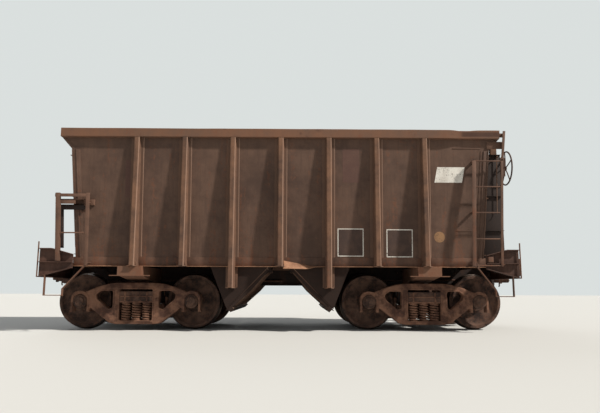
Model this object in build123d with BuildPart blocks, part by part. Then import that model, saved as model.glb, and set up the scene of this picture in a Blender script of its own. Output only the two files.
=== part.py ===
from build123d import *
import os
from math import atan2, cos, hypot, radians, sin

# An open hopper wagon for ore: a ribbed steel tub on two four-wheel trucks.
# X runs along the track, Y across it and Z up, in millimetres. The origin is the middle of the
# wagon on the plane of the flange tips; the rail head lies flange_depth above it.
# End a is at +X and end b at -X. The near side is at -Y.

# Wheelsets
flange_depth = 25.4
flange_width = 32.0
flange_corner = 9.0
tread_taper = 3.0
tread_diameter = 838.0
rim_width = 146.0
rim_thickness = 52.0
wheel_spacing = 1354.0       # between the wheels' inner faces
web_thickness = 26.0
web_offset = 10.0            # web and hub inboard of the rim's middle
web_rim_fillet = 20.0
web_hub_fillet = 30.0
hub_diameter = 280.0
hub_length = 178.0
axle_diameter = 170.0
wheel_seat_diameter = 204.0
seat_lead = 12.0             # wheel seat inboard of the hub
seat_tail = 6.0              # and outboard of it
seat_taper = 40.0
bearing_diameter = 210.0
bearing_length = 190.0
bearing_step = 12.0
seal_step = 20.0
cap_diameter = 150.0
cap_length = 34.0
cap_taper = 8.0
journal_span = 1956.0        # between the bearings' middles
running_gap = 0.3            # round a bearing in its pedestal

# Trucks
truck_spacing = 4500.0
wheelbase = 1727.0
frame_thickness = 165.0
frame_crown = 705.0          # top of the side frame above the rail
frame_keel = 70.0            # its underside above the rail
frame_flat = 380.0           # half length of its flat top
keel_flat = 330.0            # half length of its flat underside
pedestal_width = 280.0
pedestal_roof = 46.0         # metal over the bearing
pedestal_leg = 160.0         # legs below the axle's middle
pedestal_corner = 60.0
leg_upright = 45.0           # upright foot of a pedestal's inner leg
roof_lap = 40.0
shoulder_run = 240.0         # from the crown's flat to the shoulder over a pedestal
shoulder_drop = 62.0
window_half = 295.0          # half width of the spring window
window_sill = 126.0          # spring seat above the rail
crown_depth = 75.0           # metal over the spring window
column_width = 50.0
side_window_top = 100.0      # from the frame's crown to the side window
side_window_slant = 10.0
side_window_head = 130.0     # its far top corner inboard of the pedestal
side_window_cheek = 80.0     # its far middle corner inboard of the pedestal
side_window_rise = 96.0      # that corner above the axle
side_window_sill = 84.0      # its sill below the axle
side_window_toe = 110.0      # length of its sill
seat_overhang = 135.0        # spring seat inboard of the frame
seat_thickness = 30.0
spring_diameter = 136.0
spring_height = 274.0
spring_pitch = 190.0
spring_rows = 145.0          # between the two rows of springs
bolster_width = 340.0
bolster_end_depth = 170.0
bolster_middle_depth = 280.0
bolster_keel_half = 200.0    # half length of its flat underside
bolster_taper = 60.0
bolster_heel = 20.0
bolster_end_gap = 10.0       # its ends behind the side frames' faces
bolster_side_gap = 7.0       # its ends inside the spring windows
bowl_diameter = 410.0
bowl_rim = 22.0
bowl_rim_height = 10.0
beam_depth = 60.0
beam_thickness = 50.0
beam_height = 335.0          # middle of a brake beam above the rail
beam_lap = 12.0              # beam into its shoes
shoe_thickness = 42.0
shoe_width = 86.0
shoe_gap = 10.0
shoe_angle = 40.0            # arc of the wheel that a shoe covers

# Tub
body_length = 6756.0         # over the top chord
body_width = 3080.0          # over the posts and the top chord
body_top = 3060.0            # above the rail
sill_height = 947.0          # foot of the side sheets above the rail
chord_depth = 137.0
chord_wall = 12.0
top_setback = 75.0           # side sheet behind the posts' faces, under the chord
foot_setback = 210.0         # the same at the sill
end_setback = 278.0          # foot of the end wall behind the end of the top chord
flare_drop = 178.0           # the tub's corners flare out over this height under the chord
side_sheet = 6.4
end_sheet = 6.4
floor_sheet = 8.0
slope_crest = 2550.0         # top of the slope sheets above the rail
slope_foot = 1050.0          # foot of the slope sheets from the middle
lip_reach = 800.0            # lip of a chute from the middle
lip_height = 320.0           # lip of a chute above the rail
ridge_half = 200.0
ridge_foot = 930.0           # above the rail
ridge_rise = 200.0
hood_half = 250.0
hood_eaves = 1045.0          # above the rail
hood_rise = 140.0

# Side posts and sills
post_count = 7
post_pitch = 737.0
post_width = 90.0
post_flange = 45.0
post_plate = 8.0
long_post_foot = 635.0       # foot of the two long posts above the rail
foot_plate = 10.0
foot_plate_lap = 8.0
strip_height = 143.0
strip_plate = 8.0
lip_plate = 8.0
lip_out = 85.0               # lip's edge behind the posts' faces
lip_rise = 104.0
end_post_width = 110.0
end_post_depth = 90.0
end_post_spacing = 1100.0

# Underframe
sill_half = 165.0            # outside of the centre sill's webs
sill_flange = 70.0
sill_plate = 12.0
sill_foot = 675.0            # underside of the centre sill above the rail
sill_depth = 330.0
striker_plate = 40.0
striker_side = 60.0
centre_plate_diameter = 356.0
centre_plate_drop = 20.0
bolster_half = 177.0         # half width of a body bolster's end
bolster_setback = 50.0       # bolster's tip behind the posts' faces
bolster_tip_depth = 134.0
pad_length = 593.0
pad_thickness = 12.0
pad_width = 70.0
side_bearing_offset = 635.0
side_bearing_width = 90.0
side_bearing_gap = 7.0
platform_overhang = 222.0    # end of the platform beyond the top chord
platform_setback = 70.0      # bracket's web behind the posts' faces
platform_plate = 10.0
platform_top = 1210.0        # above the rail
platform_top_inner = 1125.0
platform_step = 1008.0
platform_foot = 779.0
platform_foot_inner = 916.0
platform_flat_length = 190.0 # level end of the bracket's top
end_sill_plate = 12.0
end_sill_flange = 70.0
running_board_depth = 260.0

# Couplers
coupler_height = 876.0       # above the rail
coupler_overhang = 592.0     # pulling face beyond the end of the top chord
head_height = 280.0
head_width = 330.0
head_length = 250.0
striker_proud = 50.0         # striker's face beyond the end of the platform
shank_width = 130.0
shank_depth = 130.0
shank_length = 520.0
knuckle_gap = 0.5
knuckle_inset = 20.0         # knuckle between the head's lugs
yoke_length = 250.0
yoke_gap = 0.3               # between the yoke and the sill's webs

# Hopper doors
door_sheet = 10.0
door_gap = 6.0
door_inner = 242.0
door_edge = 15.0             # outer edge inside the foot of the side sheets
door_start = 8.0
door_lap = 30.0
rib_depth = 50.0
rib_thickness = 12.0
rib_count = 4
bar_depth = 60.0
bar_width = 70.0
hinge_offset = 45.0          # hinge below the line of the closed door
hinge_pin = 28.0
hinge_eye = 56.0
hinge_length = 120.0
hinge_ear = 12.0
hinge_clearance = 0.3
ear_gap = 1.0
ear_inset = 6.0              # an ear's edge inside the eye's
ear_root = 2.0
hinge_rows = (520.0, 1040.0)

# Ladders, steps and brake gear
stile_plate = 8.0
stile_leg = 48.0
rung_diameter = 20.0
rung_pitch = 400.0
tall_rungs = 5
tall_ladder_foot = 960.0     # above the rail
tall_overhang = 32.0         # outer stile beyond the end of the top chord
tall_span = 460.0            # between the stiles' middles
tall_inner_width = 70.0
tall_outer_width = 60.0
short_setback = 23.0         # outer stile behind the end of the top chord
short_span = 455.0
short_outer_width = 130.0
short_top = 2010.0
short_rung = 1440.0
stile_top_gap = 15.0         # tall outer stile below the top of the chord
bracket_width = 60.0
bracket_plate = 10.0
tall_bracket_drop = 123.0    # corner bracket below the top chord
short_bracket_drop = 110.0   # corner bracket below the short ladder's top
step_thickness = 12.0
step_width = 50.0
step_foot = 507.0
step_inset = 110.0           # outer leg of a step behind the platform's end
step_span = 280.0
step_brace = 97.0            # inner leg up to its brace
step_lap = 55.0              # brace up the back of a ladder's stile
grab_diameter = 20.0
grab_height = 530.0
brake_wheel_diameter = 560.0
brake_wheel_height = 2560.0
brake_wheel_inset = 490.0    # its middle behind the posts' faces
brake_wheel_proud = 20.0     # beyond the end of the platform
brake_hub = 70.0
brake_spoke = 22.0
brake_rim = 26.0
brake_spokes = 5
brake_box_width = 230.0
brake_box_height = 300.0
brake_box_depth = 170.0
brake_box_gap = 40.0         # between the housing and the wheel
brake_shaft = 60.0
brake_rod = 24.0
tank_diameter = 340.0
tank_length = 760.0
tank_height = 1230.0
cylinder_diameter = 290.0
cylinder_length = 520.0
tank_gap = 60.0              # each tank outboard of the centre sill
saddle_plate = 16.0
pipe_diameter = 42.0
pipe_y = 330.0
pipe_height = 730.0
cock_size = 70.0
cock_reach = 60.0            # cock beyond the end sill
lever_diameter = 24.0
lever_rise = 60.0            # above the running board
lever_drop = 260.0
lever_inset = 60.0           # its handle inboard of the bracket
lever_gap = 90.0             # its end from the middle of the wagon
lever_lug_width = 40.0
lever_lug_height = 120.0
lever_lug_inset = 160.0      # outer lug inboard of the bracket
lever_lug_gap = 200.0        # inner lug outboard of the centre sill

os.makedirs("parts", exist_ok=True)

rail_z = flange_depth
axle_z = rail_z + tread_diameter / 2
flange_radius = tread_diameter / 2 + flange_depth
half_width = body_width / 2
half_length = body_length / 2
end_foot = half_length - end_setback
top_z = rail_z + body_top
chord_z = top_z - chord_depth
sill_z = rail_z + sill_height
lean = (foot_setback - top_setback) / (chord_z - sill_z)
lip_z = rail_z + lip_height
ridge_z = rail_z + ridge_foot
crest_z = rail_z + slope_crest
sill_under = rail_z + sill_foot
sill_top = sill_under + sill_depth
coupler_z = rail_z + coupler_height
truck_x = truck_spacing / 2
frame_y = journal_span / 2 + frame_thickness / 2
platform_reach = half_length + platform_overhang
platform_web_y = half_width - platform_setback
platform_flange = platform_setback - stile_plate
bolster_reach = half_width - bolster_setback
sill_length = 2 * (platform_reach + striker_proud)
coupler_reach = half_length + coupler_overhang
tall_outer = half_length + tall_overhang
tall_inner = tall_outer - tall_span
short_outer = half_length - short_setback
short_inner = short_outer - short_span
ENDS = (("a", 0), ("b", 180))


def sheet_y(z):
    """Outer face of the leaning side sheet at a height."""
    return half_width - foot_setback + (z - sill_z) * lean


def end_x(z):
    """Outer face of the leaning end wall at a height."""
    return end_foot + (z - sill_z) * lean


def save(piece, node):
    """Label a finished piece and write it as a node."""
    piece.part.label = node
    export_step(piece.part, f"parts/{node}.step")


def bent(points, thickness):
    """Outline of a bent plate: a line of points and the same line set off to its right."""
    normals = []
    for (x0, z0), (x1, z1) in zip(points, points[1:]):
        run = hypot(x1 - x0, z1 - z0)
        normals.append(((z1 - z0) / run, (x0 - x1) / run))
    shifted = []
    for i, (x, z) in enumerate(points):
        a = normals[max(i - 1, 0)]
        b = normals[min(i, len(normals) - 1)]
        spread = 1 + a[0] * b[0] + a[1] * b[1]
        shifted.append((x + thickness * (a[0] + b[0]) / spread,
                        z + thickness * (a[1] + b[1]) / spread))
    return points + shifted[::-1]


def both_sides(points):
    """A closed outline from its right half, listed from the foot up."""
    return points + [(-x, z) for x, z in reversed(points) if x]


def profile(plane, points, amount, both=False, mode=Mode.ADD):
    """Extrude a straight-sided outline drawn on a plane."""
    with BuildSketch(plane) as outline:
        with BuildLine():
            Polyline(*points, close=True)
        make_face()
    extrude(outline.sketch, amount=amount, both=both, mode=mode)


def between_sides(low, high, inset):
    """Keep only what lies between the side sheets, inset from their outer faces."""
    outline = both_sides([(sheet_y(low) - inset, low), (sheet_y(high) - inset, high)])
    profile(Plane.YZ, outline, body_length, both=True, mode=Mode.INTERSECT)


# Side sheets: leaning plates whose upper corners flare out to the ends of the chord
side_outline = both_sides([(end_x(sill_z), sill_z),
                           (end_x(chord_z - flare_drop), chord_z - flare_drop),
                           (half_length, chord_z), (half_length, top_z)])
with BuildPart() as side_plate:
    profile(Plane.YZ, [(-sheet_y(sill_z), sill_z), (-sheet_y(top_z), top_z),
                       (-sheet_y(top_z) + side_sheet, top_z),
                       (-sheet_y(sill_z) + side_sheet, sill_z)], half_length, both=True)
    profile(Plane.XZ, side_outline, half_width, both=True, mode=Mode.INTERSECT)
for side, turn in (("near", 0), ("far", 180)):
    with BuildPart() as side_sheet_piece:
        add(side_plate.part, rotation=(0, 0, turn))
    save(side_sheet_piece, f"side_sheet_{side}")

# Side sills: a strip over the foot of each side sheet with a lip bent outwards between the posts
strip_top = sill_z + strip_height
post_xs = [(i - (post_count - 1) / 2) * post_pitch for i in range(post_count)]
lip_top_z = sill_z + lip_rise
with BuildPart() as side_strip:
    profile(Plane.YZ, [(-sheet_y(sill_z), sill_z), (-sheet_y(strip_top), strip_top),
                       (-sheet_y(strip_top) - strip_plate, strip_top),
                       (-sheet_y(sill_z) - strip_plate, sill_z)], end_foot, both=True)
    profile(Plane.YZ, bent([(-sheet_y(lip_top_z), lip_top_z),
                            (-half_width + lip_out, sill_z)], -lip_plate), end_foot, both=True)
    for x in post_xs:
        with BuildSketch(Plane.XZ.offset(sheet_y(sill_z) + strip_plate)):
            with Locations((x, sill_z + strip_height / 2)):
                Rectangle(post_width, strip_height * 3)
        extrude(amount=foot_setback, mode=Mode.SUBTRACT)
    with BuildSketch(Plane.XY.offset(sill_z)):
        Rectangle(body_length, 2 * body_width)
    extrude(amount=strip_height, mode=Mode.INTERSECT)
    profile(Plane.YZ, [(-sheet_y(sill_z), sill_z), (-sheet_y(top_z), top_z), (0, top_z),
                       (0, sill_z)], body_length, both=True, mode=Mode.SUBTRACT)
with BuildPart() as side_sills:
    add(side_strip.part)
    add(side_strip.part, rotation=(0, 0, 180))
save(side_sills, "side_sills")


def make_post(foot):
    """A hat-section post with an upright face, its flanges flat on the leaning sheet."""
    with BuildPart() as post:
        profile(Plane.YZ, [(-half_width, foot), (-half_width, chord_z),
                           (-sheet_y(chord_z), chord_z), (-sheet_y(foot), foot)],
                post_width / 2, both=True)
        inner = half_width - post_plate
        profile(Plane.YZ, [(-inner, foot), (-inner, chord_z),
                           (-sheet_y(chord_z), chord_z), (-sheet_y(foot), foot)],
                post_width / 2 - post_plate, both=True, mode=Mode.SUBTRACT)
        profile(Plane.YZ, [(-sheet_y(strip_top), strip_top), (-sheet_y(chord_z), chord_z),
                           (-sheet_y(chord_z) - post_plate, chord_z),
                           (-sheet_y(strip_top) - post_plate, strip_top)],
                post_width / 2 + post_flange, both=True)
        profile(Plane.YZ, [(-sheet_y(strip_top), strip_top), (-sheet_y(sill_z), sill_z),
                           (-sheet_y(sill_z) - strip_plate, sill_z),
                           (-sheet_y(strip_top) - strip_plate, strip_top)],
                post_width, both=True, mode=Mode.SUBTRACT)
        profile(Plane.YZ, [(-half_width + post_plate, strip_top),
                           (-half_width + post_plate, chord_z),
                           (-sheet_y(chord_z) - post_plate, chord_z),
                           (-sheet_y(strip_top) - post_plate, strip_top)],
                post_width / 2 - post_plate, both=True, mode=Mode.SUBTRACT)
        if foot < sill_z:
            with BuildSketch(Plane.XY.offset(foot)):
                with Locations((0, -(half_width + sheet_y(foot)) / 2)):
                    Rectangle(post_width + 2 * foot_plate_lap, half_width - sheet_y(foot))
            extrude(amount=-foot_plate)
    return post.part


short_post = make_post(sill_z)
long_post = make_post(rail_z + long_post_foot)
with BuildPart() as side_posts:
    for x in post_xs:
        post = long_post if abs(abs(x) - post_pitch) < 1 else short_post
        with Locations((x, 0, 0)):
            add(post)
            add(post, rotation=(0, 0, 180))
save(side_posts, "side_posts")


def chord_section(sign):
    """Channel section of the top chord, open towards the sheet that it stiffens."""
    low, high = chord_z + chord_wall, top_z - chord_wall
    face = half_width - chord_wall
    points = [(half_width, chord_z), (half_width, top_z), (sheet_y(top_z), top_z),
              (sheet_y(high), high), (face, high), (face, low), (sheet_y(low), low),
              (sheet_y(chord_z), chord_z)]
    return [(sign * y, z) for y, z in points]


with BuildPart() as side_chords:
    for sign in (-1, 1):
        profile(Plane.YZ, chord_section(sign), half_length, both=True)
save(side_chords, "side_chords")

# End walls, their posts and the chord across each end
with BuildPart() as end_plate:
    profile(Plane.XZ, [(end_x(sill_z), sill_z), (end_x(top_z), top_z),
                       (end_x(top_z) - end_sheet, top_z), (end_x(sill_z) - end_sheet, sill_z)],
            half_width, both=True)
    between_sides(sill_z, top_z, side_sheet)
    with BuildSketch(Plane.XY.offset(sill_z)):
        with Locations((end_foot, 0)):
            Rectangle(4 * end_sheet + 2 * sill_plate, 2 * sill_half)
    extrude(amount=sill_top - sill_z, mode=Mode.SUBTRACT)
for end, turn in ENDS:
    with BuildPart() as end_wall:
        add(end_plate.part, rotation=(0, 0, turn))
    save(end_wall, f"end_wall_{end}")

with BuildPart() as end_channel:
    low, high = chord_z + chord_wall, top_z - chord_wall
    face = half_length - chord_wall
    profile(Plane.XZ, [(half_length, chord_z), (half_length, top_z), (end_x(top_z), top_z),
                       (end_x(high), high), (face, high), (face, low), (end_x(low), low),
                       (end_x(chord_z), chord_z)], half_width, both=True)
    between_sides(sill_z, top_z, side_sheet)
with BuildPart() as end_chords:
    for _, turn in ENDS:
        add(end_channel.part, rotation=(0, 0, turn))
save(end_chords, "end_chords")

end_post_foot = rail_z + platform_step
with BuildPart() as end_posts:
    for _, turn in ENDS:
        for y in (-end_post_spacing / 2, end_post_spacing / 2):
            with BuildPart(mode=Mode.PRIVATE) as end_post:
                outer = end_x(chord_z) + end_post_depth
                profile(Plane.XZ, [(end_x(end_post_foot), end_post_foot),
                                   (outer, end_post_foot), (outer, chord_z),
                                   (end_x(chord_z), chord_z)],
                        end_post_width / 2, both=True)
                inner = outer - post_plate
                profile(Plane.XZ, [(end_x(end_post_foot), end_post_foot),
                                   (inner, end_post_foot), (inner, chord_z),
                                   (end_x(chord_z), chord_z)],
                        end_post_width / 2 - post_plate, both=True, mode=Mode.SUBTRACT)
            add(Pos(0, y, 0) * end_post.part, rotation=(0, 0, turn))
save(end_posts, "end_posts")

# Slope sheets: from the end wall down to the fold, then steeply down to the lip of the chute
slope_run = end_x(crest_z) - end_sheet - slope_foot
slope_tan = (crest_z - sill_z) / slope_run
floor_outline = bent([(end_x(crest_z) - end_sheet, crest_z), (slope_foot, sill_z),
                      (lip_reach, lip_z)], -floor_sheet)
crest, fold, lip, lip_under, fold_under, crest_under = floor_outline


def floor_piece(outline, inner_half):
    """A floor sheet fitted between the side sheets, open over the centre sill."""
    with BuildPart() as piece:
        profile(Plane.XZ, outline, half_width, both=True)
        between_sides(lip_z - floor_sheet, top_z, side_sheet)
        with BuildSketch(Plane.XY.offset(sill_top + 1)):
            Rectangle(body_length, 2 * inner_half)
        extrude(amount=-sill_top, mode=Mode.SUBTRACT)
        profile(Plane.XZ, [(0, 0), (end_x(0) - end_sheet, 0),
                           (end_x(top_z) - end_sheet, top_z), (0, top_z)],
                half_width, both=True, mode=Mode.INTERSECT)
    return piece.part


slope = floor_piece([crest, fold, fold_under, crest_under], hood_half - floor_sheet)
chute = floor_piece([fold, lip, lip_under, fold_under], hood_half - floor_sheet)
for end, turn in ENDS:
    with BuildPart() as slope_sheet:
        add(slope, rotation=(0, 0, turn))
    save(slope_sheet, f"slope_sheet_{end}")
with BuildPart() as chute_sheets:
    for _, turn in ENDS:
        add(chute, rotation=(0, 0, turn))
save(chute_sheets, "chute_sheets")

# Chute sides: triangular plates that carry the side sheets' planes down to the doors
chute_lap = floor_sheet * 1.5
with BuildPart() as chute_sides:
    for sign in (-1, 1):
        outline = [(sign * ridge_half, ridge_z), (sign * ridge_half, sill_z),
                   (sign * (slope_foot + chute_lap), sill_z),
                   (sign * (lip_reach + chute_lap), lip_z), (sign * lip_reach, lip_z)]
        for side in (-1, 1):
            with BuildPart(mode=Mode.PRIVATE) as chute_side:
                profile(Plane.YZ, [(side * sheet_y(sill_z), sill_z),
                                   (side * sheet_y(lip_z), lip_z),
                                   (side * (sheet_y(lip_z) - side_sheet), lip_z),
                                   (side * (sheet_y(sill_z) - side_sheet), sill_z)],
                        half_length, both=True)
                profile(Plane.XZ, outline, half_width, both=True, mode=Mode.INTERSECT)
            add(chute_side.part)
save(chute_sides, "chute_sides")

# Cross ridge between the two chutes, one half on each side of the hood
with BuildPart() as ridge:
    profile(Plane.XZ, bent([(-ridge_half, ridge_z), (0, ridge_z + ridge_rise),
                            (ridge_half, ridge_z)], floor_sheet), half_width, both=True)
    between_sides(ridge_z - floor_sheet, top_z, side_sheet)
    with BuildSketch(Plane.XY):
        Rectangle(body_length, 2 * hood_half)
    extrude(amount=top_z, mode=Mode.SUBTRACT)
save(ridge, "cross_ridge")

# Hood over the centre sill: a peaked roof whose walls close the chutes' inner sides
eaves_z = rail_z + hood_eaves
wall = hood_half - floor_sheet
with BuildPart() as sill_hood:
    profile(Plane.YZ, both_sides([(hood_half, 0), (hood_half, eaves_z),
                                  (0, eaves_z + hood_rise)]), body_length, both=True)
    profile(Plane.YZ, both_sides([(wall, 0), (wall, eaves_z - floor_sheet / 2),
                                  (0, eaves_z + hood_rise - floor_sheet * 1.2)]),
            body_length, both=True, mode=Mode.SUBTRACT)
    crest_x = slope_foot + (top_z - sill_z) / slope_tan
    profile(Plane.XZ, both_sides([(ridge_half, ridge_z), (lip_reach, lip_z),
                                  (slope_foot, sill_z), (crest_x, top_z)]),
            half_width, both=True, mode=Mode.INTERSECT)
save(sill_hood, "sill_hood")

# Centre sill: two webs under a cover plate, with strikers at its ends and two centre plates
with BuildPart() as centre_sill:
    web = sill_half - sill_plate
    profile(Plane.YZ, both_sides([(sill_half + sill_flange, sill_under),
                                  (sill_half + sill_flange, sill_under + sill_plate),
                                  (sill_half, sill_under + sill_plate), (sill_half, sill_top)]),
            sill_length / 2, both=True)
    profile(Plane.YZ, both_sides([(web, sill_under), (web, sill_top - sill_plate)]),
            sill_length / 2, both=True, mode=Mode.SUBTRACT)
    with BuildSketch(Plane.XY.offset(sill_under - centre_plate_drop)):
        with Locations((truck_x, 0), (-truck_x, 0)):
            Circle(centre_plate_diameter / 2)
    extrude(amount=centre_plate_drop + sill_plate)
    for sign in (-1, 1):
        with BuildSketch(Plane.YZ.offset(sign * (sill_length / 2 - striker_plate))):
            with Locations((0, (sill_under + sill_top) / 2)):
                Rectangle(2 * (sill_half + striker_side), sill_depth + striker_side)
            with Locations((0, coupler_z)):
                Rectangle(shank_width + striker_side, shank_depth + striker_side,
                          mode=Mode.SUBTRACT)
        extrude(amount=sign * striker_plate)
save(centre_sill, "centre_sill")

# Body bolsters: deep at the sill, shallow at the tips, with a jacking pad under each tip
tip_z = sill_z - bolster_tip_depth
with BuildPart() as body_bolsters:
    for x in (-truck_x, truck_x):
        for side in (-1, 1):
            profile(Plane.YZ.offset(x),
                    [(side * sill_half, sill_under + sill_plate),
                     (side * (sill_half + 2 * sill_flange), sill_under + sill_plate),
                     (side * bolster_reach, tip_z), (side * bolster_reach, sill_z),
                     (side * sill_half, sill_z)], bolster_half, both=True)
            with BuildSketch(Plane.XY.offset(tip_z)):
                with Locations((x, side * (bolster_reach - pad_width / 2))):
                    Rectangle(pad_length, pad_width)
            extrude(amount=-pad_thickness)
            under = sill_under + side_bearing_gap
            with BuildSketch(Plane.XY.offset(under)):
                with Locations((x, side * side_bearing_offset)):
                    Rectangle(2 * side_bearing_width, side_bearing_width)
            extrude(amount=sill_z - under)
save(body_bolsters, "body_bolsters")

# End platforms: two side brackets with three flanges, an end sill and a running board
step_z = rail_z + platform_step
foot_z = rail_z + platform_foot
inner_x = end_foot
bottom_line = [(inner_x, rail_z + platform_foot_inner), (platform_reach, foot_z)]
top_line = [(inner_x, rail_z + platform_top_inner),
            (platform_reach - platform_flat_length, rail_z + platform_top),
            (platform_reach, rail_z + platform_top)]
with BuildPart() as bracket_pair:
    for side in (-1, 1):
        web_plane = Plane.XZ.offset(-side * platform_web_y)
        profile(web_plane, bottom_line + top_line[::-1], side * platform_plate)
        profile(web_plane, bent(bottom_line, -platform_plate), -side * platform_flange)
        profile(web_plane, bent(top_line, platform_plate), -side * platform_flange)
        profile(web_plane, [(inner_x, step_z), (platform_reach, step_z),
                            (platform_reach, step_z - platform_plate),
                            (inner_x, step_z - platform_plate)], -side * platform_flange)
    profile(Plane.XZ, [(inner_x, 0), (platform_reach, 0), (platform_reach, top_z),
                       (inner_x, top_z)], half_width, both=True, mode=Mode.INTERSECT)
with BuildPart() as end_brackets:
    for _, turn in ENDS:
        add(bracket_pair.part, rotation=(0, 0, turn))
save(end_brackets, "end_brackets")

with BuildPart() as end_sill:
    span = platform_web_y - platform_plate
    profile(Plane.XZ, [(platform_reach, foot_z), (platform_reach, step_z),
                       (platform_reach - end_sill_flange, step_z),
                       (platform_reach - end_sill_flange, step_z - end_sill_plate),
                       (platform_reach - end_sill_plate, step_z - end_sill_plate),
                       (platform_reach - end_sill_plate, foot_z + end_sill_plate),
                       (platform_reach - end_sill_flange, foot_z + end_sill_plate),
                       (platform_reach - end_sill_flange, foot_z)], span, both=True)
    with BuildSketch(Plane.XY.offset(step_z)):
        with Locations((platform_reach - running_board_depth / 2, 0)):
            Rectangle(running_board_depth, 2 * span)
    extrude(amount=end_sill_plate)
    with BuildSketch(Plane.XY.offset(sill_top + 1)):
        with Locations((platform_reach, 0)):
            Rectangle(platform_reach, 2 * (sill_half + striker_side))
    extrude(amount=-sill_top, mode=Mode.SUBTRACT)
with BuildPart() as end_sills:
    for _, turn in ENDS:
        add(end_sill.part, rotation=(0, 0, turn))
save(end_sills, "end_sills")

# Couplers: a shank in the centre sill and a hooked head, with a separate knuckle
head_back = coupler_reach - head_length
shank_start = head_back - shank_length
head_table = (
    # share of the head's length behind the pulling face, share of its width to the side
    (0.76, -0.41), (0.16, -0.59), (0.12, -0.41), (0.44, -0.23), (0.60, 0.00),
    (0.44, 0.21), (0.24, 0.24), (0.24, 0.42), (0.72, 0.42),
)
knuckle_table = (
    # the same shares, from the face that meets the head
    (0.24, 0.42), (0.24, 0.18), (0.40, 0.12), (0.32, -0.06), (0.08, -0.09),
    (0.00, 0.03), (0.00, 0.27), (0.10, 0.41),
)


def on_head(back, aside, gap=0):
    """Place on a coupler's plan from its shares of the head, moved outwards by a gap."""
    return (coupler_reach - back * head_length + gap, aside * head_width)


with BuildPart() as coupler_plan:
    with BuildSketch(Plane.XY.offset(coupler_z - head_height / 2)):
        with BuildLine():
            Polyline((head_back, -shank_width / 2), *[on_head(*row) for row in head_table],
                     (head_back, shank_width / 2), close=True)
        make_face()
    extrude(amount=head_height)
    with BuildSketch(Plane.YZ.offset(shank_start)):
        with Locations((0, coupler_z)):
            Rectangle(shank_width, shank_depth)
    extrude(amount=head_back - shank_start)
    with BuildSketch(Plane.YZ.offset(shank_start)):
        with Locations((0, coupler_z)):
            Rectangle(2 * (sill_half - sill_plate - yoke_gap), shank_depth)
    extrude(amount=yoke_length)
for end, turn in ENDS:
    with BuildPart() as coupler:
        add(coupler_plan.part, rotation=(0, 0, turn))
    save(coupler, f"coupler_{end}")

with BuildPart() as knuckle:
    with BuildSketch(Plane.XY.offset(coupler_z - head_height / 2 + knuckle_inset)):
        with BuildLine():
            Polyline(*[on_head(*row, knuckle_gap if i < 2 else 0)
                       for i, row in enumerate(knuckle_table)], close=True)
        make_face()
    extrude(amount=head_height - 2 * knuckle_inset)
with BuildPart() as knuckles:
    for _, turn in ENDS:
        add(knuckle.part, rotation=(0, 0, turn))
save(knuckles, "knuckles")

# Hopper doors: drawn flat along the closed line of the chute, s down the door and n out of it
drop = atan2(ridge_z - lip_z, lip_reach - ridge_half)
door_length = hypot(ridge_z - lip_z, lip_reach - ridge_half)


def on_door(s, n):
    """Place of a point s along the closed door line and n below it."""
    return (ridge_half + s * cos(drop) - n * sin(drop), ridge_z - s * sin(drop) - n * cos(drop))


hinge_x, hinge_z = on_door(0, hinge_offset)
door_outer = half_width - foot_setback - door_edge
door_outlines = {
    "sheet": [on_door(door_start, door_gap), on_door(door_length + door_lap, door_gap),
              on_door(door_length + door_lap, door_gap + door_sheet),
              on_door(door_start, door_gap + door_sheet)],
    "rib": [on_door(door_start, door_gap + door_sheet),
            on_door(door_length, door_gap + door_sheet),
            on_door(door_length, door_gap + door_sheet + rib_depth / 2),
            on_door(door_length / 2, door_gap + door_sheet + rib_depth),
            on_door(door_start, door_gap + door_sheet + rib_depth / 2)],
    "bar": [on_door(door_length - bar_width, door_gap + door_sheet),
            on_door(door_length, door_gap + door_sheet),
            on_door(door_length, door_gap + door_sheet + bar_depth),
            on_door(door_length - bar_width, door_gap + door_sheet + bar_depth)],
}
door_width = door_outer - door_inner
rib_ys = [door_inner + rib_thickness + i * (door_width - 2 * rib_thickness) / (rib_count - 1)
          for i in range(rib_count)]
with BuildPart() as door:
    for side in (-1, 1):
        profile(Plane.XZ.offset(-side * door_inner), door_outlines["sheet"], -side * door_width)
        for y in rib_ys:
            profile(Plane.XZ.offset(-side * y), door_outlines["rib"], rib_thickness / 2, both=True)
        for y in hinge_rows:
            with BuildSketch(Plane.XZ.offset(-side * y)):
                with Locations((hinge_x, hinge_z)):
                    Circle(hinge_eye / 2)
            extrude(amount=hinge_length / 2, both=True)
            profile(Plane.XZ.offset(-side * y),
                    [on_door(0, hinge_offset), on_door(0, hinge_offset - hinge_eye / 2),
                     on_door(door_start, door_gap + door_sheet),
                     on_door(door_length / 4, door_gap + door_sheet),
                     on_door(hinge_eye / 2, hinge_offset)], hinge_length / 2, both=True)
    profile(Plane.XZ, door_outlines["bar"], door_outer, both=True)
    with BuildSketch(Plane.XZ):
        with Locations((hinge_x, hinge_z)):
            Circle(hinge_pin / 2 + hinge_clearance)
    extrude(amount=half_width, both=True, mode=Mode.SUBTRACT)
for end, turn in ENDS:
    with BuildPart() as hopper_door:
        add(door.part, rotation=(0, 0, turn))
    save(hopper_door, f"hopper_door_{end}")

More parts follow.
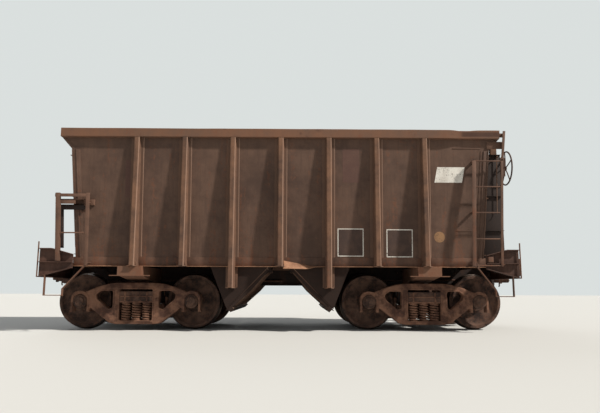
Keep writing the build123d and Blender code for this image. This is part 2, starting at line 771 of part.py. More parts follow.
# Door hinges: two ears under the ridge with a pin between them, at each hinge row
ear_radius = hinge_eye / 2 - ear_inset
with BuildPart() as hinge:
    ear_y = hinge_length / 2 + ear_gap
    for sign in (-1, 1):
        with BuildSketch(Plane.XZ.offset(sign * (ear_y + hinge_ear / 2))):
            with Locations((hinge_x, hinge_z)):
                Circle(ear_radius)
            with BuildLine():
                Polyline(on_door(0, hinge_offset), on_door(-ear_root, 0), on_door(-3 * ear_radius, 0),
                         on_door(-ear_radius, hinge_offset), close=True)
            make_face()
        extrude(amount=hinge_ear / 2, both=True)
    with BuildSketch(Plane.XZ):
        with Locations((hinge_x, hinge_z)):
            Circle(hinge_pin / 2)
    extrude(amount=ear_y + hinge_ear, both=True)
    under_ridge = bent([(-ridge_half, ridge_z), (0, ridge_z + ridge_rise),
                        (ridge_half, ridge_z)], floor_sheet)[3:]
    profile(Plane.XZ, under_ridge + [(-2 * ridge_half, under_ridge[-1][1]),
                                     (-2 * ridge_half, top_z), (2 * ridge_half, top_z),
                                     (2 * ridge_half, under_ridge[0][1])],
            half_width, both=True, mode=Mode.SUBTRACT)
with BuildPart() as door_hinges:
    for _, turn in ENDS:
        for y in hinge_rows:
            for side in (-1, 1):
                add(Pos(0, side * y, 0) * hinge.part, rotation=(0, 0, turn))
save(door_hinges, "door_hinges")

# Ladders: a tall one at the right end of each side and a short one at the left end
stile_y = half_width
tall_top = tall_ladder_foot + rung_pitch * (tall_rungs - 1)
stile_table = (
    # middle, width, foot above the rail, top above the rail, inward leg on this edge
    (tall_inner, tall_inner_width, tall_ladder_foot, tall_top + rung_diameter, 1),
    (tall_outer, tall_outer_width, tall_ladder_foot, body_top - stile_top_gap, -1),
    (-short_inner, tall_inner_width, tall_ladder_foot, short_top + rung_diameter, -1),
    (-short_outer, short_outer_width, platform_step, short_top + rung_diameter, 1),
)
bracket_table = (
    # stile middle, height above the rail
    (tall_inner, tall_ladder_foot + rung_pitch / 2), (tall_inner, tall_top - rung_pitch / 4),
    (-short_inner, tall_ladder_foot + rung_pitch / 2), (-short_inner, short_top - rung_pitch / 4),
)
corner_bracket_z = chord_z - tall_bracket_drop
short_bracket_z = rail_z + short_top - short_bracket_drop
with BuildPart() as stiles:
    for middle, width, foot, top, edge in stile_table:
        leg_x = middle + edge * (width / 2 - stile_plate / 2)
        with BuildSketch(Plane.XY.offset(rail_z + foot)):
            with Locations((middle, -stile_y + stile_plate / 2)):
                Rectangle(width, stile_plate)
        extrude(amount=top - foot)
        leg_foot = max(foot, platform_top) if abs(middle) > end_foot else foot
        with BuildSketch(Plane.XY.offset(rail_z + leg_foot)):
            with Locations((leg_x, -stile_y + stile_leg / 2)):
                Rectangle(stile_plate, stile_leg)
        extrude(amount=top - leg_foot)
    for middle, height in bracket_table:
        z = rail_z + height
        profile(Plane.XY.offset(z),
                [(middle - bracket_width / 2, -stile_y + stile_plate),
                 (middle + bracket_width / 2, -stile_y + stile_plate),
                 (middle + bracket_width / 2, -sheet_y(z + bracket_plate)),
                 (middle - bracket_width / 2, -sheet_y(z + bracket_plate))], bracket_plate)
    for reach, low_z in ((tall_outer, corner_bracket_z), (-short_outer, short_bracket_z)):
        sign = 1 if reach > 0 else -1
        corner = end_x(low_z) if low_z < chord_z - flare_drop else end_x(low_z) + bracket_width / 2
        profile(Plane.XY.offset(low_z),
                [(sign * (corner - 1.5 * bracket_width), -sheet_y(low_z + bracket_plate)),
                 (sign * (corner - bracket_width / 2), -sheet_y(low_z + bracket_plate)),
                 (reach, -stile_y + stile_leg), (reach, -stile_y + stile_plate),
                 (sign * (corner - 1.5 * bracket_width), -stile_y + stile_plate + bracket_plate)],
                bracket_plate)
with BuildPart() as ladder_stiles:
    for _, turn in ENDS:
        add(stiles.part, rotation=(0, 0, turn))
save(ladder_stiles, "ladder_stiles")

rung_y = stile_y - stile_plate - rung_diameter / 2
rung_table = [
    # height above the rail, one end, other end
    (tall_ladder_foot + rung_diameter / 2 + i * rung_pitch,
     tall_inner + tall_inner_width / 2, tall_outer - tall_outer_width / 2)
    for i in range(tall_rungs)
] + [
    (height, -short_outer + short_outer_width / 2, -short_inner - tall_inner_width / 2)
    for height in (short_rung, short_top)
]
with BuildPart() as rungs:
    for height, start, stop in rung_table:
        with BuildSketch(Plane.YZ.offset(start)):
            with Locations((-rung_y, rail_z + height)):
                Circle(rung_diameter / 2)
        extrude(amount=stop - start)
with BuildPart() as ladder_rungs:
    for _, turn in ENDS:
        add(rungs.part, rotation=(0, 0, turn))
save(ladder_rungs, "ladder_rungs")

# Sill steps: flat bars bent into stirrups under the four corners
step_y = platform_web_y + platform_flange - step_width
step_outer = platform_reach - step_inset
step_inner = step_outer - step_span
step_top = foot_z + (rail_z + platform_foot_inner - foot_z) * (
    step_inset / (platform_reach - end_foot))


def step_path(stile):
    """A step's bar from the end platform round to the back of a ladder's inner stile."""
    return [(step_outer, step_top), (step_outer, rail_z + step_foot),
            (step_inner, rail_z + step_foot), (step_inner, rail_z + step_foot + step_brace),
            (stile - step_thickness, rail_z + tall_ladder_foot),
            (stile - step_thickness, rail_z + tall_ladder_foot + step_lap)]


with BuildPart() as sill_steps:
    for side in (-1, 1):
        for sign in (-1, 1):
            path = step_path(tall_inner if sign * side < 0 else short_inner)
            profile(Plane.XZ.offset(-side * step_y),
                    [(sign * x, z) for x, z in bent(path, step_thickness)],
                    -side * step_width)
save(sill_steps, "sill_steps")

# Handholds: an upright bar at each corner of the end platforms
grab_y = platform_web_y + platform_flange / 2
with BuildPart() as handholds:
    for x in (-platform_reach, platform_reach):
        for y in (-grab_y, grab_y):
            sign = 1 if x > 0 else -1
            with BuildSketch(Plane.XY.offset(foot_z)):
                with Locations((x + sign * grab_diameter / 2, y)):
                    Circle(grab_diameter / 2)
            extrude(amount=grab_height)
save(handholds, "handholds")

# Hand brake: a spoked wheel on its housing, high on the end wall of end a
wheel_z = rail_z + brake_wheel_height
brake_wheel_y = half_width - brake_wheel_inset
brake_wheel_reach = platform_reach + brake_wheel_proud
with BuildPart() as brake_wheel:
    with BuildSketch(Plane.YZ.offset(brake_wheel_reach)):
        with Locations((-brake_wheel_y, wheel_z)):
            Circle(brake_wheel_diameter / 2)
            Circle(brake_wheel_diameter / 2 - brake_rim, mode=Mode.SUBTRACT)
            Circle(brake_hub / 2)
            with PolarLocations(brake_wheel_diameter / 4, brake_spokes):
                Rectangle(brake_wheel_diameter / 2 - brake_rim, brake_spoke)
    extrude(amount=brake_rim)
save(brake_wheel, "brake_wheel")

box_x = brake_wheel_reach - brake_box_gap - brake_box_depth / 2
shelf_x = brake_wheel_reach - brake_shaft
with BuildPart() as brake_housing:
    with BuildSketch(Plane.XY.offset(wheel_z - brake_box_height / 2)):
        with Locations((box_x, -brake_wheel_y)):
            Rectangle(brake_box_depth, brake_box_width)
    extrude(amount=brake_box_height)
    with BuildSketch(Plane.YZ.offset(brake_wheel_reach - brake_shaft)):
        with Locations((-brake_wheel_y, wheel_z)):
            Circle(brake_hub / 3)
    extrude(amount=brake_shaft)
    for z in (wheel_z - brake_box_height / 2, wheel_z + brake_box_height / 2 - platform_plate):
        profile(Plane.XY.offset(z),
                [(end_x(z + platform_plate), -brake_wheel_y - brake_box_width / 2),
                 (shelf_x, -brake_wheel_y - brake_box_width / 2),
                 (shelf_x, -brake_wheel_y + brake_box_width / 2),
                 (end_x(z + platform_plate), -brake_wheel_y + brake_box_width / 2)],
                platform_plate)
    with BuildSketch(Plane.XY.offset(step_z + end_sill_plate)):
        with Locations((brake_wheel_reach - brake_box_depth, -brake_wheel_y)):
            Circle(brake_rod / 2)
    extrude(amount=wheel_z - brake_box_height / 2 - step_z - end_sill_plate)
save(brake_housing, "brake_housing")

# Air tanks: the reservoir and the brake cylinder on saddles over the body bolster of end a
tank_z = rail_z + tank_height
tank_start = sill_half + tank_gap
with BuildPart() as air_tanks:
    for start, length, diameter in ((tank_start, tank_length, tank_diameter),
                                    (-tank_start - cylinder_length, cylinder_length,
                                     cylinder_diameter)):
        with BuildSketch(Plane.XZ.offset(-start)):
            with Locations((truck_x, tank_z)):
                Circle(diameter / 2)
        extrude(amount=-length)
        for share in (0.2, 0.8):
            with BuildSketch(Plane.XZ.offset(-(start + share * length))):
                with Locations((truck_x, (tank_z + sill_z) / 2)):
                    Rectangle(diameter * 0.7, tank_z - sill_z)
            extrude(amount=saddle_plate / 2, both=True)
save(air_tanks, "air_tanks")

# End pipes: the train pipe from the body bolster to its cock beside each coupler
with BuildPart() as end_pipe:
    with BuildSketch(Plane.YZ.offset(truck_x + bolster_half)):
        with Locations((pipe_y, rail_z + pipe_height)):
            Circle(pipe_diameter / 2)
    extrude(amount=platform_reach - end_sill_flange - truck_x - bolster_half)
    with BuildSketch(Plane.YZ.offset(platform_reach - end_sill_flange)):
        with Locations((pipe_y, rail_z + pipe_height)):
            Rectangle(cock_size, cock_size)
    extrude(amount=end_sill_flange + cock_reach)
with BuildPart() as end_pipes:
    for _, turn in ENDS:
        add(end_pipe.part, rotation=(0, 0, turn))
save(end_pipes, "end_pipes")

# Uncoupling levers: a rod across each end sill from the coupler to the corner
lever_z = step_z + lever_rise
lever_x = platform_reach + lever_diameter
lever_y = platform_web_y - lever_inset
with BuildPart() as lever:
    with BuildSketch(Plane.XZ.offset(lever_y)):
        with Locations((lever_x, lever_z)):
            Circle(lever_diameter / 2)
    extrude(amount=lever_gap - lever_y)
    with BuildSketch(Plane.XY.offset(lever_z + lever_diameter / 2)):
        with Locations((lever_x, -lever_y)):
            Circle(lever_diameter / 2)
    extrude(amount=-lever_drop)
    for y in (lever_lug_inset - platform_web_y, -sill_half - lever_lug_gap):
        with BuildSketch(Plane.YZ.offset(platform_reach)):
            with Locations((y, lever_z - lever_rise / 2)):
                Rectangle(lever_lug_width, lever_lug_height)
        extrude(amount=lever_diameter)
with BuildPart() as uncoupling_levers:
    for _, turn in ENDS:
        add(lever.part, rotation=(0, 0, turn))
save(uncoupling_levers, "uncoupling_levers")

# Truck side frames: a crown, a keel and pedestals round three windows
bearing_radius = bearing_diameter / 2 + running_gap
half_base = wheelbase / 2
crown_z = rail_z + frame_crown
keel_z = rail_z + frame_keel
roof_z = axle_z + bearing_radius + pedestal_roof
leg_z = axle_z - pedestal_leg
outer_leg = half_base + pedestal_width / 2
inner_leg = half_base - pedestal_width / 2
seat_z = rail_z + window_sill
frame_outline = [(keel_flat, keel_z), (inner_leg, leg_z + leg_upright), (inner_leg, leg_z),
                 (outer_leg, leg_z), (outer_leg, roof_z - pedestal_corner),
                 (outer_leg - pedestal_corner, roof_z), (inner_leg + roof_lap, roof_z),
                 (frame_flat + shoulder_run, crown_z - shoulder_drop), (frame_flat, crown_z)]
post_x = window_half + column_width
window_top_z = crown_z - side_window_top
window_sill_z = axle_z - side_window_sill
side_window = [(post_x, window_sill_z), (post_x, window_top_z),
               (inner_leg - side_window_head, window_top_z - side_window_slant),
               (inner_leg - side_window_cheek, axle_z + side_window_rise),
               (post_x + side_window_toe, window_sill_z)]
with BuildPart() as side_frame:
    plane = Plane.XZ.offset(frame_y)
    profile(plane, both_sides(frame_outline), -frame_thickness)
    with BuildSketch(plane):
        with Locations((0, (seat_z + crown_z - crown_depth) / 2)):
            Rectangle(2 * window_half, crown_z - crown_depth - seat_z)
    extrude(amount=-frame_thickness, mode=Mode.SUBTRACT)
    for sign in (-1, 1):
        profile(plane, [(sign * x, z) for x, z in side_window], -frame_thickness,
                mode=Mode.SUBTRACT)
        with BuildSketch(plane):
            with Locations((sign * half_base, axle_z)):
                Circle(bearing_radius)
            with Locations((sign * half_base, leg_z)):
                Rectangle(2 * bearing_radius, 2 * pedestal_leg)
        extrude(amount=-frame_thickness, mode=Mode.SUBTRACT)
    with BuildSketch(Plane.XY.offset(seat_z)):
        with Locations((0, -frame_y + (frame_thickness + seat_overhang) / 2)):
            Rectangle(2 * window_half, frame_thickness + seat_overhang)
    extrude(amount=-seat_thickness)

# Truck bolster: bowl in the middle, side bearings, and ends that ride on the springs
spring_top = seat_z + spring_height
bolster_top = sill_under - centre_plate_drop - running_gap
end_top = spring_top + bolster_end_depth
with BuildPart() as bolster:
    half_span = frame_y - bolster_end_gap
    spring_span = frame_y - frame_thickness - seat_overhang
    profile(Plane.YZ, both_sides([(bolster_keel_half, bolster_top - bolster_middle_depth),
                                  (spring_span - bolster_taper, spring_top - bolster_heel),
                                  (spring_span, spring_top), (half_span, spring_top),
                                  (half_span, end_top), (spring_span, end_top),
                                  (bowl_diameter / 2 + bolster_taper, bolster_top)]),
            bolster_width / 2, both=True)
    for side in (-1, 1):
        with BuildSketch(Plane.XY.offset(spring_top)):
            with Locations((0, side * (half_span + spring_span) / 2)):
                Rectangle(2 * (window_half - bolster_side_gap), half_span - spring_span)
        extrude(amount=bolster_end_depth)
        with BuildSketch(Plane.XY.offset(spring_top)):
            with Locations((0, side * side_bearing_offset)):
                Rectangle(2 * side_bearing_width, side_bearing_width)
        extrude(amount=sill_under - spring_top)
    with BuildSketch(Plane.XY.offset(bolster_top)):
        Circle(bowl_diameter / 2)
        Circle(bowl_diameter / 2 - bowl_rim, mode=Mode.SUBTRACT)
    extrude(amount=bowl_rim_height)

# Spring groups: coils as plain cylinders between the seat and the bolster
with BuildPart() as springs:
    first_row = frame_y - frame_thickness / 2
    with BuildSketch(Plane.XY.offset(seat_z)):
        for side in (-1, 1):
            for row in (0, 1):
                for i in (-1, 0, 1):
                    with Locations((i * spring_pitch, side * (first_row - row * spring_rows))):
                        Circle(spring_diameter / 2)
    extrude(amount=spring_height)

# Brake beams: a bar between the side frames with a shoe before each wheel
shoe_radius = tread_diameter / 2 + shoe_gap
wheel_y = wheel_spacing / 2 + rim_width / 2
beam_x = half_base - shoe_radius - shoe_thickness
with BuildPart() as brake_beam:
    with BuildSketch(Plane.XZ):
        with Locations((beam_x - beam_thickness / 2 + beam_lap, rail_z + beam_height)):
            Rectangle(beam_thickness, beam_depth)
    extrude(amount=frame_y - frame_thickness, both=True)
    for y in (-wheel_y, wheel_y):
        with BuildSketch(Plane.XZ.offset(y + shoe_width / 2)):
            with Locations((half_base, axle_z)):
                Circle(shoe_radius + shoe_thickness)
                Circle(shoe_radius, mode=Mode.SUBTRACT)
            with BuildLine():
                reach = 2 * shoe_radius
                tilt = radians(shoe_angle / 2)
                Polyline((half_base, axle_z),
                         (half_base - reach * cos(0.4 * tilt), axle_z + reach * sin(0.4 * tilt)),
                         (half_base - reach * cos(1.6 * tilt), axle_z - reach * sin(1.6 * tilt)),
                         close=True)
            make_face(mode=Mode.INTERSECT)
        extrude(amount=-shoe_width)

TRUCKS = (("a", truck_x, 0), ("b", -truck_x, 180))
for end, x, turn in TRUCKS:
    with BuildPart() as side_frames:
        with Locations((x, 0, 0)):
            add(side_frame.part)
            add(side_frame.part, rotation=(0, 0, 180))
    save(side_frames, f"side_frames_{end}")
    with BuildPart() as truck_bolster:
        with Locations((x, 0, 0)):
            add(bolster.part)
    save(truck_bolster, f"truck_bolster_{end}")
    with BuildPart() as truck_springs:
        with Locations((x, 0, 0)):
            add(springs.part)
    save(truck_springs, f"springs_{end}")
    with BuildPart() as brake_beams:
        with Locations((x, 0, 0)):
            add(brake_beam.part)
            add(brake_beam.part, rotation=(0, 0, 180))
    save(brake_beams, f"brake_beams_{end}")

# Wheelsets: a pair of flanged wheels on an axle with a roller bearing at each end
inner_face = wheel_spacing / 2
tread_radius = tread_diameter / 2
rim_inner = tread_radius - rim_thickness
hub_middle = inner_face + rim_width / 2 - web_offset
hub_in = hub_middle - hub_length / 2
hub_out = hub_middle + hub_length / 2
rim_out = inner_face + rim_width
web_top = rim_inner - web_rim_fillet
web_foot = hub_diameter / 2 + web_hub_fillet
wheel_profile = [
    # distance from the middle of the track, radius
    (inner_face, rim_inner), (inner_face, flange_radius - flange_corner),
    (inner_face + flange_corner, flange_radius),
    (inner_face + 2 * flange_corner, flange_radius - tread_taper),
    (inner_face + flange_width, tread_radius + tread_taper), (rim_out, tread_radius - tread_taper),
    (rim_out, rim_inner), (hub_middle + web_thickness, web_top),
    (hub_middle + web_thickness / 2, web_foot), (hub_out, hub_diameter / 2),
    (hub_out, wheel_seat_diameter / 2), (hub_in, wheel_seat_diameter / 2),
    (hub_in, hub_diameter / 2), (hub_middle - web_thickness / 2, web_foot), (hub_middle, web_top),
]
seat_inner = hub_in - seat_lead
seat_outer = hub_out + seat_tail
bearing_in = journal_span / 2 - bearing_length / 2
bearing_out = journal_span / 2 + bearing_length / 2
axle_profile = [
    # distance from the middle of the track, radius
    (0, 0), (0, axle_diameter / 2), (seat_inner - seat_taper, axle_diameter / 2),
    (seat_inner, wheel_seat_diameter / 2), (seat_outer, wheel_seat_diameter / 2),
    (seat_outer, bearing_diameter / 2 - seal_step), (bearing_in, bearing_diameter / 2 - bearing_step),
    (bearing_in + bearing_step, bearing_diameter / 2),
    (bearing_out - bearing_step, bearing_diameter / 2),
    (bearing_out, bearing_diameter / 2 - bearing_step), (bearing_out, cap_diameter / 2),
    (bearing_out + cap_length, cap_diameter / 2 - cap_taper), (bearing_out + cap_length, 0),
]
with BuildPart() as wheel:
    with BuildSketch(Plane.YZ):
        with BuildLine():
            Polyline(*wheel_profile, close=True)
        make_face()
    revolve(axis=Axis.Y)
with BuildPart() as half_axle:
    with BuildSketch(Plane.YZ):
        with BuildLine():
            Polyline(*axle_profile, close=True)
        make_face()
    revolve(axis=Axis.Y)
axle_xs = [truck_x + half_base, truck_x - half_base, -truck_x + half_base, -truck_x - half_base]
for number, x in enumerate(axle_xs, 1):
    with BuildPart() as wheels:
        with Locations((x, 0, axle_z)):
            add(wheel.part)
            add(wheel.part, rotation=(0, 0, 180))
    save(wheels, f"wheels_{number}")
    with BuildPart() as axle:
        with Locations((x, 0, axle_z)):
            add(half_axle.part)
            add(half_axle.part, rotation=(0, 0, 180))
    save(axle, f"axle_{number}")
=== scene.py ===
"""Looks of an open hopper wagon for ore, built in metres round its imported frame."""
import math
import random

import bmesh
import bpy
from bpy.props import FloatProperty, FloatVectorProperty, IntProperty, PointerProperty
from mathutils import Matrix, Vector


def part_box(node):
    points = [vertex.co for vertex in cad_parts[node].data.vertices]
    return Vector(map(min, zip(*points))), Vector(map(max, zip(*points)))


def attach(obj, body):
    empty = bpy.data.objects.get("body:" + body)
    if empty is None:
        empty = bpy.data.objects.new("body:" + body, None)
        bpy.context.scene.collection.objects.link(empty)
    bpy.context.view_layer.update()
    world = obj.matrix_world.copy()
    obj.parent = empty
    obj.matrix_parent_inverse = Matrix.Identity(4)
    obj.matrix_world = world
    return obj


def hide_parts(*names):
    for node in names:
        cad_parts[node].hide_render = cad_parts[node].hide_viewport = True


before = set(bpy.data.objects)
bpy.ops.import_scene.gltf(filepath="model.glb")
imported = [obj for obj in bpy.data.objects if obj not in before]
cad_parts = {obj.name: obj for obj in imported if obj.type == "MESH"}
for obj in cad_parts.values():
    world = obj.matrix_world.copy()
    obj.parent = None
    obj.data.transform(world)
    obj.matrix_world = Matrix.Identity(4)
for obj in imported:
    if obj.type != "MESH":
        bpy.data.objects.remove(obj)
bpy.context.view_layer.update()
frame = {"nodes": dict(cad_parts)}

bl_info = {
    "name": "Open hopper wagon",
    "version": (1, 0, 0),
    "blender": (4, 5, 0),
    "location": "View3D > Sidebar > Wagon",
    "description": "Builds the visible pieces and finishes of an open hopper wagon",
    "category": "Object",
}

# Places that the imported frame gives
SILL_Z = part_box("side_sheet_near")[0].z
CHORD_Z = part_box("side_chords")[0].z
HALF_LENGTH, HALF_WIDTH, TOP_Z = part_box("side_chords")[1]
POST_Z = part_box("side_posts")[0].z
PLATFORM_X, _, PLATFORM_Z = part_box("end_sills")[1]
BRACKET_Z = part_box("end_brackets")[1].z
LADDER_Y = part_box("ladder_rungs")[1].y
COUPLER_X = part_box("knuckles")[1].x
WHEELS = {n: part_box(f"wheels_{n}") for n in (1, 2, 3, 4)}
AXLE_X = {n: (low.x + high.x) / 2 for n, (low, high) in WHEELS.items()}
AXLE_Z = (WHEELS[1][0].z + WHEELS[1][1].z) / 2
FLANGE_RADIUS = (WHEELS[1][1].z - WHEELS[1][0].z) / 2
TRUCK_X = (AXLE_X[1] + AXLE_X[2]) / 2
TRUCKS = {"a": TRUCK_X, "b": -TRUCK_X}
HALF_BASE = (AXLE_X[1] - AXLE_X[2]) / 2

# The tub's walls: where they stand at foot and top, how they lean, and their plates
FOOT_INSET, HEAD_INSET = 0.21, 0.075
FOOT_Y = HALF_WIDTH - FOOT_INSET
FOOT_X = HALF_LENGTH - 0.278
LEAN = (FOOT_INSET - HEAD_INSET) / (CHORD_Z - SILL_Z)
FLARE_Z = CHORD_Z - 0.178
STRIP_Z = SILL_Z + 0.143
PLATE = 0.008

# The posts' places, their half widths at the foot, the face and the root, and their flanges
POST_PITCH = 0.737
POST_XS = [i * POST_PITCH for i in range(-3, 4)]
LONG_POSTS = (POST_XS[2], POST_XS[4])
POST_HALF, POST_FACE, POST_ROOT, POST_FLANGE = 0.045, 0.040, 0.054, 0.045
END_POST_Y, END_POST_HALF = 0.55, 0.055

# The rail's height over the flanges' lowest points, and the outer faces of the running gear
RAIL_Z = 0.0254
TREAD_RADIUS = FLANGE_RADIUS - RAIL_Z
BEARING_RADIUS = 0.1053
WHEEL_OUTER, FRAME_FACE, CAP_END = 0.823, 1.0605, 1.107

# The radius that closes a turned end, and two ways to face
TIP = 0.0001
AHEAD, UP = (1.0, 0.0, 0.0), (0.0, 0.0, 1.0)


def side_y(z):
    """Outer face of a leaning side sheet at a height."""
    return FOOT_Y + (z - SILL_Z) * LEAN


def end_x(z):
    """Outer face of a leaning end wall at a height."""
    return FOOT_X + (z - SILL_Z) * LEAN


def tint(red, green, blue):
    """A display colour, 0 to 255, as the linear colour that Blender's sockets hold."""
    return tuple(c / 12.92 if c <= 0.04045 else ((c + 0.055) / 1.055) ** 2.4
                 for c in (red / 255, green / 255, blue / 255))


def colour_property(name, description, value):
    return FloatVectorProperty(name=name, description=description, subtype="COLOR", size=3,
                               min=0.0, max=1.0, default=tint(*value))


def length_property(name, description, value):
    return FloatProperty(name=name, description=description, default=value, min=0.0005,
                         unit="LENGTH", subtype="DISTANCE")


class WagonColours(bpy.types.PropertyGroup):
    """Colours of the wagon's paint, rust and metal."""
    sheet: colour_property("Sheets", "Old brown paint of the side sheets", (97, 75, 63))
    sheet_dark: colour_property("Sheets, dark", "Soot and shade in the sheets' paint", (74, 57, 49))
    post: colour_property("Posts", "Sun-bleached brown of the posts", (122, 90, 70))
    # The pale colour of painted highlights on the posts' sunny corners and flange rims
    edge: colour_property("Edge highlights", "Painted highlights on the posts' sunny corners and flange rims", (146, 119, 103))
    post_dark: colour_property("Posts, dark", "Dirt on posts and ladders", (108, 81, 67))
    rust: colour_property("Rust", "Fresh rust in streaks and patches", (112, 74, 56))
    rust_dark: colour_property("Rust, dark", "Old rust in pits", (70, 49, 41))
    inside: colour_property("Inside", "Steel scoured by ore", (124, 101, 86))
    frame: colour_property("Underframe", "Dirty paint of the underframe", (89, 64, 54))
    iron: colour_property("Trucks", "Rusty cast iron of the trucks", (126, 93, 75))
    # Dust and painted sunlight on the trucks' upper faces
    iron_light: colour_property("Trucks, upper faces", "Dust and painted sunlight on the trucks' upper faces", (132, 98, 78))
    wheel: colour_property("Wheels", "Brake dust and rust on the wheels", (94, 72, 61))
    chord: colour_property("Chords", "Brown of the top chords", (114, 81, 62))
    # The near lips are paler than the far ones: scraped paint and a painted highlight
    lip: colour_property("Lips", "Scraped paint and painted highlight of the near sill's lips", (188, 142, 112))
    panel: colour_property("Dark panels", "Dark paint in the bare frames", (60, 46, 41))
    # Also the dark colour of the painted shade under the sill and on the chutes
    chute: colour_property("Chutes", "Painted shade and ore dust outside the chutes", (47, 37, 33))
    grease: colour_property("Grease", "Grease and brake dust", (42, 33, 30))
    steel: colour_property("Bright steel", "Steel polished by the rail", (90, 82, 76))
    mark: colour_property("Marks", "Old white paint of the marks", (224, 221, 212))
    patch: colour_property("Patches", "Newer brown paint over old marks", (84, 59, 51))
    dot: colour_property("Dot", "Yellow paint of the round mark", (146, 111, 78))
    floor: colour_property("Floor", "Pale floor under the wagon", (202, 203, 201))


class WagonSizes(bpy.types.PropertyGroup):
    """Sizes of the wagon's small parts."""
    rivet_radius: length_property("Rivet radius", "Radius of a rivet's head", 0.013)
    rivet_height: length_property("Rivet height", "Height of a rivet's head", 0.008)
    bolt_radius: length_property("Bolt radius", "Radius of a bolt's hexagon", 0.016)
    bolt_height: length_property("Bolt height", "Height of a bolt's head", 0.013)
    coil_wire: length_property("Coil wire", "Radius of a spring's wire", 0.0125)
    coil_turns: FloatProperty(name="Coil turns", description="Turns of an outer spring coil",
                              default=6.5, min=2.0, max=12.0)
    lathe_sides: IntProperty(name="Lathe sides", description="Sides of a turned wheel",
                             default=72, min=12, max=128)


class Value:
    """An output socket, with the arithmetic that the patterns are written in."""

    def __init__(self, tree, socket):
        self.tree, self.socket = tree, socket

    def math(self, operation, *others):
        """What a Math node makes of this value and the others."""
        return self.tree.node("ShaderNodeMath", dict(enumerate((self, *others))),
                              operation=operation)

    def __add__(self, other):
        return self.math("ADD", other)

    def __mul__(self, other):
        return self.math("MULTIPLY", other)

    def __sub__(self, other):
        return self.math("SUBTRACT", other)

    def __rsub__(self, other):
        return self.tree.node("ShaderNodeMath", {0: other, 1: self}, operation="SUBTRACT")

    __radd__ = __add__
    __rmul__ = __mul__

    def size(self):
        return self.math("ABSOLUTE")

    def over(self, limit):
        return self.math("GREATER_THAN", limit)

    def above(self, low, high):
        """0 under low, 1 over high, and a smooth step between them."""
        return self.tree.node("ShaderNodeMapRange",
                              {"Value": self, "From Min": low, "From Max": high},
                              interpolation_type="SMOOTHSTEP")


class Tree:
    """Makes the nodes of a shader tree or a Geometry Nodes tree."""

    def __init__(self, tree):
        self.tree = tree

    def node(self, kind, inputs=None, output=0, **settings):
        """A new node with its settings, then its sockets' values or links; gives one output."""
        made = self.tree.nodes.new(kind)
        for name, value in settings.items():
            setattr(made, name, value)
        for name, value in (inputs or {}).items():
            self.feed(made.inputs[name], value)
        return Value(self, made.outputs[output])

    def feed(self, socket, value):
        if isinstance(value, Value):
            self.tree.links.new(value.socket, socket)
        else:
            socket.default_value = value

    def parts(self, vector):
        """The three numbers of a vector."""
        split = self.node("ShaderNodeSeparateXYZ", {0: vector}).socket.node
        return [Value(self, socket) for socket in split.outputs]

    def join(self, one, two):
        """Two shapes of a Geometry Nodes tree as one."""
        both = self.node("GeometryNodeJoinGeometry", {"Geometry": one})
        self.feed(both.socket.node.inputs["Geometry"], two)
        return both


class Finish(Tree):
    """The node tree of one material."""

    def __init__(self, name):
        self.material = bpy.data.materials.new(name)
        self.material.use_nodes = True
        super().__init__(self.material.node_tree)
        self.surface = self.tree.nodes["Principled BSDF"]
        self.place = self.node("ShaderNodeTexCoord", output=3)

    def facing(self):
        """The three numbers of the way that the surface faces."""
        return self.parts(self.node("ShaderNodeNewGeometry", output=1))

    def noise(self, scale, detail=4.0, roughness=0.6, stretch=(1.0, 1.0, 1.0), shift=0.0):
        """A noise pattern on the piece, its mean near a half."""
        where = self.node("ShaderNodeMapping", {"Vector": self.place, "Scale": stretch,
                                                "Location": (shift, -shift, shift)})
        return self.node("ShaderNodeTexNoise", {"Vector": where, "Scale": scale, "Detail": detail,
                                                "Roughness": roughness})

    def mix(self, share, low, high):
        """Colour low where share is 0 and colour high where it is 1."""
        low, high = (c if isinstance(c, Value) else tuple(c) + (1.0,) for c in (low, high))
        return self.node("ShaderNodeMix", {0: share, 6: low, 7: high}, output=2, data_type="RGBA")

    def bump(self, height, depth, under=None):
        """A relief of a height pattern, on top of another relief if one is given."""
        inputs = {"Height": height, "Distance": depth, "Strength": 1.0}
        if under is not None:
            inputs["Normal"] = under
        return self.node("ShaderNodeBump", inputs)

    def finish(self, colour, roughness, metal=0.0, normal=None, specular=0.4):
        for name, value in (("Base Color", colour), ("Roughness", roughness),
                            ("Metallic", metal), ("Normal", normal)):
            if value is not None:
                self.feed(self.surface.inputs[name], value)
        self.surface.inputs["Specular IOR Level"].default_value = specular


